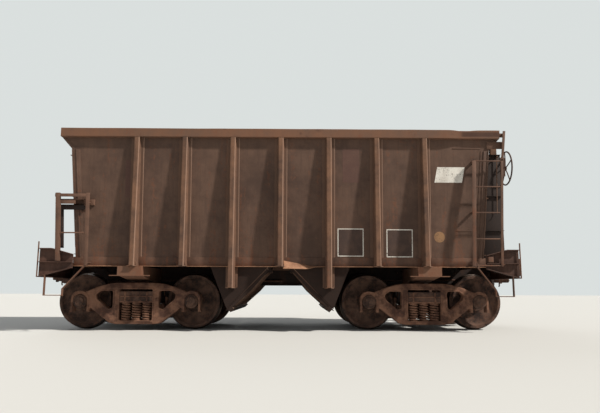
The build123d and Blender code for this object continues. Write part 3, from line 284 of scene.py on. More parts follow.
def paint(name, base, dark, rust, streaks, grime, waves=0.0, inside=None, shade_and_stain=None, edges=None):
    """Old paint that has faded in patches, with rust that runs down from pits and edges."""
    colours = bpy.context.scene.wagon_colours
    tree = Finish(name)
    x, y, z = tree.parts(tree.place)
    patches = tree.noise(0.9, 4.0, 0.62)
    cloud = tree.noise(5.0, 6.0, 0.68, shift=3.1)
    grain = tree.noise(70.0, 5.0, 0.7)
    pits = tree.noise(19.0, 8.0, 0.72, shift=7.7)
    runs = tree.noise(9.0, 5.0, 0.62, stretch=(1.0, 1.0, 0.07), shift=1.7)
    fine_runs = tree.noise(30.0, 4.0, 0.6, stretch=(1.0, 1.0, 0.05), shift=5.3)
    colour = tree.mix((patches * 0.55 + cloud * 0.45).above(0.38, 0.66), base, dark)
    colour = tree.mix(fine_runs.above(0.45, 0.75) * (grime * 0.8), colour, dark)
    low = 1.0 - (z - SILL_Z).above(0.0, 0.55)
    wear = runs * 0.5 + pits * 0.5 + low * 0.05
    rusting = wear.above(0.535, 0.64) * streaks
    colour = tree.mix(rusting, colour, rust)
    blots = (tree.noise(2.3, 5.0, 0.7, shift=11.0) * 0.6 + pits * 0.4).above(0.575, 0.64)
    colour = tree.mix(blots * (streaks * 0.8), colour, colours.rust_dark)
    colour = tree.mix(grain.above(0.45, 0.8) * 0.35, colour, dark)
    # Painted shade, or painted shade with rust, mixed in where the mask says
    if shade_and_stain:
        mask, tone = shade_and_stain
        colour = tree.mix(mask(x, y, z) * (0.55 + cloud * 0.5), colour, tone)
    # Painted highlights: the pale edge colour laid on where each mask says
    if edges:
        for mask in edges(x, y, z):
            colour = tree.mix(mask * (0.55 + patches * 0.6), colour, colours.edge)
    rough = 0.66 + rusting * 0.2 + grain * 0.1
    height = grain * 0.12 + pits * 0.35 + rusting * 0.25
    if inside:
        scoured = tree.noise(3.5, 6.0, 0.65, stretch=(1.0, 1.0, 0.5)) * 0.6 + fine_runs * 0.4
        steel = tree.mix(scoured.above(0.42, 0.62), colours.post_dark, colours.inside)
        steel = tree.mix(wear.above(0.5, 0.62) * 0.7, steel, colours.rust)
        steel = tree.mix(grain.above(0.4, 0.8) * 0.5, steel, colours.rust_dark)
        colour = tree.mix(inside(x, y, z), colour, steel)
    normal = tree.bump(height, 0.0022)
    if waves:
        normal = tree.bump(tree.noise(1.6, 2.0, 0.5, shift=2.2), waves, normal)
    tree.finish(colour, rough, normal=normal, specular=0.2)


def cast(name, base, dust, dark, polish=None):
    """Rough cast iron, rusty all over, with dust on its upper faces, which on the trucks is paler
    and is painted sunlight as well, and a darker tone in cloudy patches.
    """
    colours = bpy.context.scene.wagon_colours
    tree = Finish(name)
    cloud = tree.noise(6.0, 6.0, 0.66)
    grain = tree.noise(110.0, 4.0, 0.6)
    pits = tree.noise(34.0, 8.0, 0.75, shift=4.0)
    up = tree.facing()[2]
    colour = tree.mix(cloud.above(0.36, 0.64), base, dark)
    colour = tree.mix(pits.above(0.5, 0.66) * 0.6, colour, colours.rust)
    # Upward faces take the dust colour; on the trucks' iron it is paler and stands for painted
    # sunlight as well as dust
    colour = tree.mix(up.above(0.2, 0.95) * (0.35 + cloud * 0.6), colour, dust)
    colour = tree.mix(grain.above(0.5, 0.8) * 0.3, colour, colours.rust_dark)
    rough = 0.7 + pits * 0.25
    metal = 0.0
    if polish:
        bright = polish(*tree.parts(tree.place))
        marks = tree.noise(60.0, 3.0, 0.5, stretch=(1.0, 0.15, 1.0)).above(0.3, 0.9)
        colour = tree.mix(bright * (0.55 + marks * 0.4), colour, colours.steel)
        rough = rough - bright * 0.42
        metal = bright * 0.85
    normal = tree.bump(grain * 0.3 + pits * 0.6, 0.0028)
    tree.finish(colour, rough, metal, normal, specular=0.2)


def scoured_steel(name):
    """Steel that the ore scours, with painted shade in a near-black sooty colour on the faces that
    look down or out under the sill.
    """
    colours = bpy.context.scene.wagon_colours
    tree = Finish(name)
    scour = tree.noise(2.6, 7.0, 0.66)
    slides = tree.noise(26.0, 5.0, 0.6, stretch=(0.12, 1.0, 0.12))
    pits = tree.noise(30.0, 8.0, 0.72, shift=2.0)
    colour = tree.mix((scour * 0.6 + slides * 0.4).above(0.42, 0.6), colours.post_dark,
                      colours.inside)
    colour = tree.mix(scour.above(0.54, 0.64) * 0.7, colour, colours.rust)
    colour = tree.mix(pits.above(0.52, 0.7) * 0.6, colour, colours.rust_dark)
    x, y, z = tree.parts(tree.place)
    _, across, up = tree.facing()
    outward = across * y.math("SIGN")
    # Painted shade: faces that look down, and outward faces under the sill, take a near-black
    # colour
    below = (0.0 - up).above(0.02, 0.1)
    beside = outward.above(0.3, 0.6) * (y.size() - 1.0).over(0.0) * (SILL_Z - z).above(0.0, 0.01)
    under = below.math("MAXIMUM", beside)
    painted_shade = tree.mix(pits.above(0.45, 0.7) * 0.3, colours.chute, colours.rust_dark)
    tree.finish(tree.mix(under, colour, painted_shade), 0.55 + pits * 0.35 + under * 0.2,
                slides.above(0.45, 0.75) * (1.0 - under) * 0.3,
                tree.bump(pits * 0.6 + slides * 0.4, 0.0025), specular=0.15)


def thin_paint(name, tone):
    """A thin coat of one colour that has flaked and gathered dirt."""
    colours = bpy.context.scene.wagon_colours
    tree = Finish(name)
    flakes = tree.noise(45.0, 7.0, 0.72)
    dirt = tree.noise(6.0, 6.0, 0.7)
    colour = tree.mix(dirt.above(0.35, 0.75) * 0.35, tone, colours.post_dark)
    colour = tree.mix(flakes.above(0.56, 0.62) * 0.7, colour, colours.sheet_dark)
    tree.finish(colour, 0.75 + flakes * 0.15, normal=tree.bump(flakes, 0.0008))


def tub_inside(x, y, z):
    """0 on the outer skin of the tub's leaning walls and 1 on the inner one."""
    reach, skin = (z - SILL_Z) * LEAN, 0.0034
    side = (y.size() - reach).over(FOOT_Y - skin)
    end = (x.size() - reach).over(FOOT_X - skin)
    return 1.0 - side.math("MAXIMUM", end)


def post_places(x, y, z):
    """Distances from a post's middle, to either side and to its sunny side, and masks.

    The masks are 1 at the posts' feet on the sheets and in the bays between the end posts.
    """
    away = x - (x + POST_PITCH / 2).math("SNAP", POST_PITCH)
    near = FOOT_Y + PLATE + 0.003 - y.size() + (z - SILL_Z) * LEAN
    bays = (FOOT_X - 0.05 - x.size()).over(0.0)
    foot = near.above(0.0, 0.002) * bays * (z - STRIP_Z).above(0.0, 0.01)
    return away.size(), away * (0.0 - y.math("SIGN")), foot, bays


def post_shade(x, y, z):
    """Painted shade: 1 on the posts' flanges and less on their webs, and 0 on their faces."""
    across, _, foot, bays = post_places(x, y, z)
    flange = foot * ((POST_HALF + POST_FLANGE + 0.002) - across).above(0.0, 0.002)
    web = (HALF_WIDTH - 0.018 - y.size()).above(0.0, 0.012) * bays * 0.55
    return flange.math("MAXIMUM", web)


def post_highlights(x, y, z):
    """Masks of painted highlights on the posts' sunny corners and on the sunny edges of their
    flanges.
    """
    _, sunny, foot, bays = post_places(x, y, z)
    corner = (sunny - (POST_FACE - 0.015)).above(0.0, 0.005) * bays
    corner = corner * (y.size() - HALF_WIDTH + 0.02).above(0.0, 0.01) * 0.65
    rim = (sunny - (POST_HALF + POST_FLANGE - 0.002)).above(0.0, 0.002) * foot
    return corner, rim


def chord_end_rust_and_shade(x, y, z):
    """1 on the dented face at the end of the near chord, which old rust's colour darkens, as rust
    and as painted shade.
    """
    face = (z - CHORD_Z).above(0.028, 0.036) * (TOP_Z - 0.034 - z).above(0.0, 0.008)
    return (x - 2.76).above(0.0, 0.06) * (0.0 - y).above(1.40, 1.45) * face


def on_rail(x, y, z):
    """1 on a wheel's tread and flange, which the rail polishes."""
    across, up = (x.size() - TRUCK_X).size() - HALF_BASE, z - AXLE_Z
    radius = (across * across + up * up).math("SQRT")
    face = (WHEEL_OUTER - 0.004) - y.size()
    return radius.above(TREAD_RADIUS - 0.006, TREAD_RADIUS - 0.003) * face.above(0.0, 0.002)


FINISH_NODES = {
    "Sheet paint": ("side_sheet_near", "side_sheet_far", "end_wall_a", "end_wall_b"),
    "Post paint": ("side_posts", "end_chords", "end_posts", "side_sills"),
    "Chord paint": ("side_chords", "body_bolsters"),
    "Inside steel": ("slope_sheet_a", "slope_sheet_b", "chute_sheets", "chute_sides",
                     "cross_ridge", "sill_hood", "hopper_door_a", "hopper_door_b"),
    "Sooty paint": ("centre_sill", "door_hinges"),
    "Frame paint": ("end_sills", "end_brackets", "brake_housing", "air_tanks", "end_pipes"),
    "Ladder paint": ("ladder_stiles", "ladder_rungs", "sill_steps", "handholds", "brake_wheel",
                     "uncoupling_levers"),
    "Truck iron": ("side_frames_a", "side_frames_b", "brake_beams_a", "brake_beams_b"),
    "Bolster iron": ("truck_bolster_a", "truck_bolster_b"),
    "Wheel steel": tuple(f"{node}_{n}" for node in ("wheels", "axle") for n in WHEELS),
    "Spring steel": ("springs_a", "springs_b"),
    "Coupler iron": ("coupler_a", "coupler_b", "knuckles"),
}


def make_finishes():
    """Makes every finish and puts it on the frame's nodes."""
    c = bpy.context.scene.wagon_colours
    paint("Sheet paint", c.sheet, c.sheet_dark, c.rust, 0.55, 0.55, 0.03, tub_inside)
    # Post paint carries painted shade on the posts' flanges and webs, and painted highlights on
    # their sunny corners and flange rims
    paint("Post paint", c.post, c.sheet_dark, c.rust, 0.5, 0.35, 0.004,
          shade_and_stain=(post_shade, c.sheet), edges=post_highlights)
    # The chord paint darkens the dented end of the near chord with rust and painted shade
    paint("Chord paint", c.chord, c.sheet, c.rust, 0.7, 0.3, shade_and_stain=(chord_end_rust_and_shade, c.rust_dark))
    paint("Frame paint", c.frame, c.panel, c.rust_dark, 0.6, 0.6)
    paint("Lip paint", c.lip, c.post, c.rust, 0.4, 0.3)
    paint("Ladder paint", c.post_dark, c.sheet_dark, c.rust, 0.7, 0.3)
    # The sooty paint is dark grease, and also painted shade on the brake stand and on the short
    # ladder's arms
    paint("Sooty paint", c.grease, c.chute, c.rust_dark, 0.5, 0.4)
    cast("Truck iron", c.iron, c.iron_light, c.rust_dark)
    cast("Spring steel", c.iron, c.iron_light, c.rust_dark)
    cast("Coupler iron", c.iron, c.rust, c.grease)
    cast("Wheel steel", c.wheel, c.wheel, c.grease, on_rail)
    cast("Bolster iron", c.wheel, c.frame, c.grease)
    scoured_steel("Inside steel")
    thin_paint("White paint", c.mark)
    thin_paint("Yellow paint", c.dot)
    thin_paint("Dark paint", c.panel)
    thin_paint("Patch paint", c.patch)
    for name, nodes in FINISH_NODES.items():
        for node in nodes:
            for place in frame["nodes"][node].material_slots:
                place.material = bpy.data.materials[name]


def placed(axis):
    """Turns (a, b, along) into the wagon's axes for a shape drawn out along one of them."""
    rows = {"x": ((0, 0, 1), (1, 0, 0), (0, 1, 0)), "y": ((1, 0, 0), (0, 0, 1), (0, 1, 0)),
            "z": ((1, 0, 0), (0, 1, 0), (0, 0, 1))}
    return Matrix(rows[axis]).to_4x4()


def arc(middle, radius, start, stop, steps):
    """Points on a circle from one angle in degrees to another, both included."""
    turns = [math.radians(start + (stop - start) * k / steps) for k in range(steps + 1)]
    return [(middle[0] + radius * math.cos(t), middle[1] + radius * math.sin(t)) for t in turns]


def circle(middle, radius, sides):
    """Points all round a circle."""
    return arc(middle, radius, 0, 360, sides)[:-1]


def rectangle(left, low, right, high):
    return [(left, low), (right, low), (right, high), (left, high)]


def mirrored(right):
    """An outline from its right half."""
    return right + [(-a, b) for a, b in reversed(right)]


def corners(points):
    """Each corner of an outline, between the ones before and after it."""
    around = [Vector(point) for point in points]
    return zip(around[-1:] + around[:-1], around, around[1:] + around[:1])


def grown(points, distance):
    """An outline moved out by a distance, or in by a negative one, its corners kept sharp."""
    area = sum(a[0] * b[1] - b[0] * a[1] for a, b in zip(points, points[1:] + points[:1]))
    if area < 0:
        distance = -distance
    moved = []
    for before, here, after in corners(points):
        one, two = (here - before).normalized(), (after - here).normalized()
        normal_one, normal_two = Vector((one.y, -one.x)), Vector((two.y, -two.x))
        push = (normal_one + normal_two) / max(1 + normal_one.dot(normal_two), 0.2)
        moved.append(tuple(here + push * distance))
    return moved


def rounded(points, radius, steps):
    """An outline whose corners are rounded, each by the radius or as far as its sides allow."""
    bends = []
    for before, here, after in corners(points):
        back, ahead = before - here, after - here
        half = back.angle(ahead, math.pi) / 2
        cut = min(radius / max(math.tan(half), 0.05), back.length * 0.48, ahead.length * 0.48)
        start, stop = here + back.normalized() * cut, here + ahead.normalized() * cut
        for share in (k / steps for k in range(steps + 1)):
            bends.append(tuple(start * (1 - share) ** 2 + here * 2 * share * (1 - share)
                               + stop * share ** 2))
    return bends


def linked(name, data):
    """A new object in the scene."""
    made = bpy.data.objects.new(name, data)
    bpy.context.scene.collection.objects.link(made)
    return made


class Shape:
    """A mesh being built, in the wagon's own metres."""

    def __init__(self):
        self.mesh = bmesh.new()

    def loft(self, sections, closed=False):
        """A solid through sections of the same count of points, which may close to a ring."""
        rings = [[self.mesh.verts.new(point) for point in section] for section in sections]
        count = len(rings[0])
        for one, two in zip(rings, rings[1:] + (rings[:1] if closed else [])):
            for i in range(count):
                after = (i + 1) % count
                self.mesh.faces.new((one[i], one[after], two[after], two[i]))
        if not closed:
            self.mesh.faces.new(rings[0])
            self.mesh.faces.new(rings[-1])

    def prism(self, outline, axis, start, stop):
        """A solid with straight edges: an outline drawn out along an axis."""
        turn = placed(axis)
        self.loft([[turn @ Vector((a, b, along)) for a, b in outline] for along in (start, stop)])

    def block(self, one, two):
        """A box between two opposite corners."""
        self.prism(rectangle(one[0], one[1], two[0], two[1]), "z", one[2], two[2])

    def on_side(self, outline, near, far):
        """A plate on the near side's leaning sheet, between two distances from its face."""
        self.loft([[(x, -side_y(z) - out, z) for x, z in outline] for out in (near, far)])

    def on_end(self, outline, near, far):
        """A plate on the leaning end wall, between two distances from its face."""
        self.loft([[(end_x(z) + out, y, z) for y, z in outline] for out in (near, far)])

    def tube(self, path, radius, sides, closed=False):
        """A round bar that follows a path of points."""
        path = [Vector(point) for point in path]
        count, sections, side = len(path), [], None
        for i, here in enumerate(path):
            ahead = path[(i + 1) % count] if closed or i + 1 < count else here
            behind = path[i - 1] if closed or i else here
            run = (ahead - behind).normalized()
            side = run.orthogonal() if side is None else side - run * side.dot(run)
            side.normalize()
            up = run.cross(side)
            sections.append([here + side * a + up * b
                             for a, b in circle((0.0, 0.0), radius, sides)])
        self.loft(sections, closed)

    def lathe(self, profile, origin, axis, sides, closed=False):
        """A turned solid: rows of place along the axis and radius, closed to turn a ring."""
        turn, middle = placed(axis), Vector(origin)
        self.loft([[turn @ Vector((a, b, along)) + middle
                    for a, b in circle((0.0, 0.0), radius, sides)] for along, radius in profile],
                  closed)

    def ring(self, start, stop, inner, outer, origin, axis, sides):
        """A turned ring with a square section."""
        self.lathe([(start, inner), (start, outer), (stop, outer), (stop, inner)], origin, axis,
                   sides, closed=True)

    def plate(self, outer, holes, axis, start, stop, edge, radius, steps=5):
        """A cast plate: an outline and holes with rounded corners, its edges rounded too."""
        curve = bpy.data.curves.new("plate", "CURVE")
        curve.dimensions, curve.fill_mode = "2D", "BOTH"
        curve.extrude, curve.bevel_depth = abs(stop - start) / 2 - edge, edge
        curve.bevel_resolution = 1
        for outline in [grown(outer, -edge)] + [grown(hole, edge) for hole in holes]:
            bend = rounded(outline, radius, steps)
            spline = curve.splines.new("POLY")
            spline.points.add(len(bend) - 1)
            spline.points.foreach_set("co", [c for a, b in bend for c in (a, b, 0.0, 1.0)])
            spline.use_cyclic_u = True
        drawing = bpy.data.objects.new("plate", curve)
        flat = bpy.data.meshes.new_from_object(drawing)
        flat.transform(placed(axis) @ Matrix.Translation((0, 0, (start + stop) / 2)))
        part = bmesh.new()
        part.from_mesh(flat)
        bmesh.ops.remove_doubles(part, verts=part.verts, dist=0.00002)
        part.to_mesh(flat)
        part.free()
        self.mesh.from_mesh(flat)
        bpy.data.objects.remove(drawing)
        bpy.data.curves.remove(curve)
        bpy.data.meshes.remove(flat)

    def turn_round(self, verts=None, about=(0.0, 0.0, 0.0)):
        """Gives all points, or some of them, half a turn."""
        bmesh.ops.rotate(self.mesh, verts=verts or self.mesh.verts, cent=about,
                         matrix=Matrix.Rotation(math.pi, 3, "Z"))

    def double(self, about=(0.0, 0.0, 0.0)):
        """Adds the same again after half a turn, as the wagon's two ends and sides are."""
        copy = bmesh.ops.duplicate(self.mesh, geom=self.mesh.verts[:] + self.mesh.edges[:]
                                   + self.mesh.faces[:])
        self.turn_round([v for v in copy["geom"] if isinstance(v, bmesh.types.BMVert)], about)

    def piece(self, name, body, slot, material, replaces=(), edge=0.0, angle=40.0):
        """Makes the mesh a piece of the wagon on a body, with its edges rounded if wanted."""
        bmesh.ops.recalc_face_normals(self.mesh, faces=self.mesh.faces)
        data = bpy.data.meshes.new(name)
        self.mesh.to_mesh(data)
        self.mesh.free()
        made = linked(name, data)
        if edge:
            bevel = made.modifiers.new("edge", "BEVEL")
            bevel.width, bevel.segments, bevel.limit_method = edge, 2, "ANGLE"
            bevel.angle_limit = math.radians(angle)
        settle(made, body, material, replaces, angle)


def settle(made, body, material, replaces=(), angle=40.0):
    """Turns an object's modifiers into a plain mesh, and gives it its finish and its body."""
    shapes = bpy.context.evaluated_depsgraph_get()
    data = bpy.data.meshes.new_from_object(made.evaluated_get(shapes), depsgraph=shapes)
    made.modifiers.clear()
    made.data = data
    data.materials.clear()
    data.materials.append(bpy.data.materials[material])
    data.polygons.foreach_set("use_smooth", [True] * len(data.polygons))
    data.set_sharp_from_angle(angle=math.radians(angle))
    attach(made, body)
    if replaces:
        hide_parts(*replaces)


def repeat_tree(name, sizes, draw):
    """A Geometry Nodes tree that sets one drawn shape on every point, facing as the point says."""
    group = bpy.data.node_groups.new(name, "GeometryNodeTree")
    face = group.interface
    face.new_socket("Geometry", in_out="INPUT", socket_type="NodeSocketGeometry")
    for label in sizes:
        face.new_socket(label, in_out="INPUT", socket_type="NodeSocketFloat")
    face.new_socket("Material", in_out="INPUT", socket_type="NodeSocketMaterial")
    face.new_socket("Geometry", in_out="OUTPUT", socket_type="NodeSocketGeometry")
    tree = Tree(group)
    start = group.nodes.new("NodeGroupInput")
    inputs = {socket.name: Value(tree, socket) for socket in start.outputs if socket.name}
    facing = group.nodes.new("GeometryNodeInputNamedAttribute")
    facing.data_type = "FLOAT_VECTOR"
    facing.inputs["Name"].default_value = "facing"
    way = next(o for o in facing.outputs if o.enabled and o.name == "Attribute")
    turn = tree.node("FunctionNodeAlignRotationToVector", {"Vector": Value(tree, way)}, axis="Z")
    many = tree.node("GeometryNodeInstanceOnPoints", {"Points": inputs["Geometry"],
                                                      "Instance": draw(tree, inputs),
                                                      "Rotation": turn})
    real = tree.node("GeometryNodeRealizeInstances", {"Geometry": many})
    dressed = tree.node("GeometryNodeSetMaterial", {"Geometry": real,
                                                    "Material": inputs["Material"]})
    end = group.nodes.new("NodeGroupOutput")
    tree.feed(end.inputs["Geometry"], dressed)
    return group


def draw_rivet(tree, inputs):
    """A flattened ball: the head of a rivet."""
    ball = tree.node("GeometryNodeMeshUVSphere", {"Segments": 8, "Rings": 4, "Radius": 1.0})
    size = tree.node("ShaderNodeCombineXYZ", {0: inputs["Radius"], 1: inputs["Radius"],
                                              2: inputs["Height"]})
    return tree.node("GeometryNodeTransform", {"Geometry": ball, "Scale": size})


def draw_bolt(tree, inputs):
    """A hexagon head on a round washer."""
    head = tree.node("GeometryNodeMeshCylinder", {"Vertices": 6, "Radius": inputs["Radius"],
                                                  "Depth": inputs["Height"]})
    washer = tree.node("GeometryNodeMeshCylinder", {"Vertices": 12,
                                                    "Radius": inputs["Radius"] * 1.3,
                                                    "Depth": inputs["Height"] * 0.3})
    lift = tree.node("ShaderNodeCombineXYZ", {2: inputs["Height"] * 0.5})
    raised = tree.node("GeometryNodeTransform", {"Geometry": head, "Translation": lift})
    return tree.join(raised, washer)


def draw_coil(tree, inputs):
    """A spring: an outer coil, and a thinner one inside it that turns the other way."""
    coils = []
    for reach, wire, turns, steps, sides, backward in ((1.0, 1.0, 1.0, 28, 10, False),
                                                       (0.6, 0.62, 1.55, 18, 6, True)):
        radius = inputs["Radius"] * reach
        line = tree.node("GeometryNodeCurveSpiral", {
            "Resolution": steps, "Rotations": inputs["Turns"] * turns, "Start Radius": radius,
            "End Radius": radius, "Height": inputs["Height"], "Reverse": backward})
        bar = tree.node("GeometryNodeCurvePrimitiveCircle", {"Resolution": sides,
                                                             "Radius": inputs["Wire"] * wire})
        coils.append(tree.node("GeometryNodeCurveToMesh", {"Curve": line, "Profile Curve": bar,
                                                           "Fill Caps": True}))
    return tree.join(*coils)


def draw_link(tree, inputs):
    """An oval chain link of round bar, standing in the plane of its facing."""
    ring = tree.node("GeometryNodeCurvePrimitiveCircle", {"Resolution": 12,
                                                          "Radius": inputs["Radius"]})
    oval = tree.node("GeometryNodeTransform", {"Geometry": ring, "Scale": (1.0, 0.62, 1.0)})
    bar = tree.node("GeometryNodeCurvePrimitiveCircle", {"Resolution": 6,
                                                         "Radius": inputs["Wire"]})
    return tree.node("GeometryNodeCurveToMesh", {"Curve": oval, "Profile Curve": bar})


def repeat(name, tree, points, sizes, body, material):
    """Runs a tree on points with facings, and keeps its result as a piece with a plain mesh."""
    data = bpy.data.meshes.new(name)
    data.from_pydata([p for p, _ in points], [], [])
    facing = data.attributes.new("facing", "FLOAT_VECTOR", "POINT")
    facing.data.foreach_set("vector", [c for _, way in points for c in way])
    made = linked(name, data)
    modifier = made.modifiers.new(name, "NODES")
    modifier.node_group = tree
    values = dict(sizes, Material=bpy.data.materials[material])
    for item in tree.interface.items_tree:
        if item.in_out == "INPUT" and item.name in values:
            modifier[item.identifier] = values[item.name]
    settle(made, body, material)
    return made


def turned(points):
    """The same points and facings after half a turn about the wagon's middle."""
    return [((-x, -y, z), (-a, -b, c)) for (x, y, z), (a, b, c) in points]


class WagonOperator:
    """What the wagon's operators share."""
    bl_options = {"REGISTER", "UNDO"}

    def execute(self, context):
        self.build()
        return {"FINISHED"}


class WAGON_OT_finishes(WagonOperator, bpy.types.Operator):
    """Make the wagon's paints, rusts and metals and put them on the frame's nodes"""
    bl_idname = "wagon.finishes"
    bl_label = "Finishes"

    def build(self):
        make_finishes()


class WAGON_OT_chords(WagonOperator, bpy.types.Operator):
    """Make the top chords, the near one with dents at its end"""
    bl_idname = "wagon.chords"
    bl_label = "Top chords"

    def build(self):
        stations, web = 96, HALF_WIDTH - 0.014
        for side, name in ((-1, "chord_near"), (1, "chord_far")):
            draw = random.Random(7 + side)
            sway = [draw.uniform(-1, 1) for _ in range(14)]
            shape = Shape()
            shape.loft([self.section(side, sway, i / stations) for i in range(stations + 1)])
            cap = [(side * web, CHORD_Z + 0.01), (side * web, TOP_Z - 0.03),
                   (side * side_y(TOP_Z), TOP_Z - 0.03), (side * side_y(CHORD_Z), CHORD_Z + 0.01)]
            for end in (-1, 1):
                shape.prism(cap, "x", end * (HALF_LENGTH - 0.002), end * (HALF_LENGTH - 0.008))
            shape.piece(name, "body", "tub_paint", "Chord paint", ("side_chords",), angle=50.0)

    def section(self, side, sway, share):
        """The bent channel's section at a share of its length, open towards the sheet."""
        wall, curl, step = 0.012, 0.008, 0.004
        x = HALF_LENGTH * (2 * share - 1)
        place = share * (len(sway) - 1)
        low = min(int(place), len(sway) - 2)
        drift = abs(sway[low] + (sway[low + 1] - sway[low]) * (place - low))
        drift *= min(1.0, (HALF_LENGTH - abs(x)) / 0.4)
        drop, twist = drift * 0.002, 0.0
        if side < 0:
            dent = math.exp(-((x - 2.83) / 0.12) ** 2)
            end = min(max((x - 2.62) / 0.16, 0.0), 1.0)
            drop += dent * 0.017 + end * 0.006
            twist = end * 0.016 + dent * 0.008
        face, high = HALF_WIDTH - drift * 0.003, TOP_Z - drop
        foot, head = face - twist - curl, face - curl
        points = [(foot - step, CHORD_Z), *arc((foot, CHORD_Z + curl), curl, -90, 0, 3),
                  (foot + curl, CHORD_Z + curl + step), (face, high - curl - step),
                  *arc((head, high - curl), curl, 0, 90, 3), (head - step, high),
                  (side_y(TOP_Z), high), (side_y(TOP_Z), high - wall), (face - wall, high - wall),
                  (face - twist - wall, CHORD_Z + wall), (side_y(CHORD_Z), CHORD_Z + wall),
                  (side_y(CHORD_Z), CHORD_Z)]
        return [(x, side * y, z) for y, z in points]


class WAGON_OT_sills(WagonOperator, bpy.types.Operator):
    """Make the strips at the foot of the sides, with flat lips and the one that is bent down"""
    bl_idname = "wagon.sills"
    bl_label = "Side sills"

    def build(self):
        sides = [x + s * POST_HALF for x in POST_XS for s in (-1, 1)]
        edges = [-FOOT_X - 0.045, *sides, FOOT_X + 0.045]
        strips, near, far = Shape(), Shape(), Shape()
        for start, stop in zip(edges[::2], edges[1::2]):
            strips.on_side(rectangle(start, SILL_Z, stop, STRIP_Z), 0.0, PLATE)
            self.lip(near, start, stop, bent=abs(start - POST_HALF) < 0.01)
            self.lip(far, start, stop, bent=False)
        strips.double()
        far.turn_round()
        # The near lips take a paler finish than the far ones: scraped paint and a painted highlight
        for shape, name, finish in ((strips, "sill_strips", "Ladder paint"),
                                    (near, "sill_lips_near", "Lip paint"),
                                    (far, "sill_lips_far", "Post paint")):
            shape.piece(name, "body", "tub_paint", finish, ("side_sills",), 0.0015)

    def lip(self, shape, start, stop, bent):
        """A narrow flat lip, or a wide one that hangs down, most at its left end."""
        sections = []
        for share in (i / 12 for i in range(13)):
            x = start + (stop - start) * share
            ripple = 0.0015 * math.sin(x * 11.0)
            root_y, root_z = side_y(SILL_Z) + PLATE * 0.5, SILL_Z + PLATE
            edge_y, edge_z = FOOT_Y + 0.062 + ripple, SILL_Z + PLATE + ripple
            if bent:
                hang = max(1.0 - share * 1.3, 0.0)
                root_z += 0.100 * hang
                edge_y += 0.060 * hang
                edge_z -= 0.034 * min(hang * 4.0, 1.0)
            sections.append([(x, -root_y, root_z), (x, -edge_y, edge_z),
                             (x, -edge_y + PLATE / 4, edge_z - PLATE),
                             (x, -root_y, root_z - PLATE)])
        shape.loft(sections)


class WAGON_OT_posts(WagonOperator, bpy.types.Operator):
    """Fold the side posts: round corners, straight faces and flanges on the leaning sheets"""
    bl_idname = "wagon.posts"
    bl_label = "Side posts"

    def build(self):
        shape, reach = Shape(), POST_HALF + POST_FLANGE + 0.008
        for x in POST_XS:
            heights = [POST_Z, SILL_Z, CHORD_Z] if x in LONG_POSTS else [SILL_Z, CHORD_Z]
            shape.loft([self.section(x, z) for z in heights])
            for s in (-1, 1):
                shape.on_side(rectangle(x + s * POST_HALF, STRIP_Z, x + s * reach, CHORD_Z),
                              0.0, PLATE)
        shape.double()
        shape.piece("posts", "body", "tub_paint", "Post paint", ("side_posts",), angle=25.0)

    def section(self, x, z):
        """The post's outline at one height, from the sheet out to the rounded face."""
        radius, step, root = 0.013, 0.004, side_y(max(z, SILL_Z))
        side, out = POST_FACE - radius, HALF_WIDTH - radius
        outline = mirrored([(POST_ROOT, root), (POST_FACE + 0.001, out - step),
                            *arc((side, out), radius, 0, 90, 4), (side - step, HALF_WIDTH)])
        return [(x + a, -y, z) for a, y in outline]


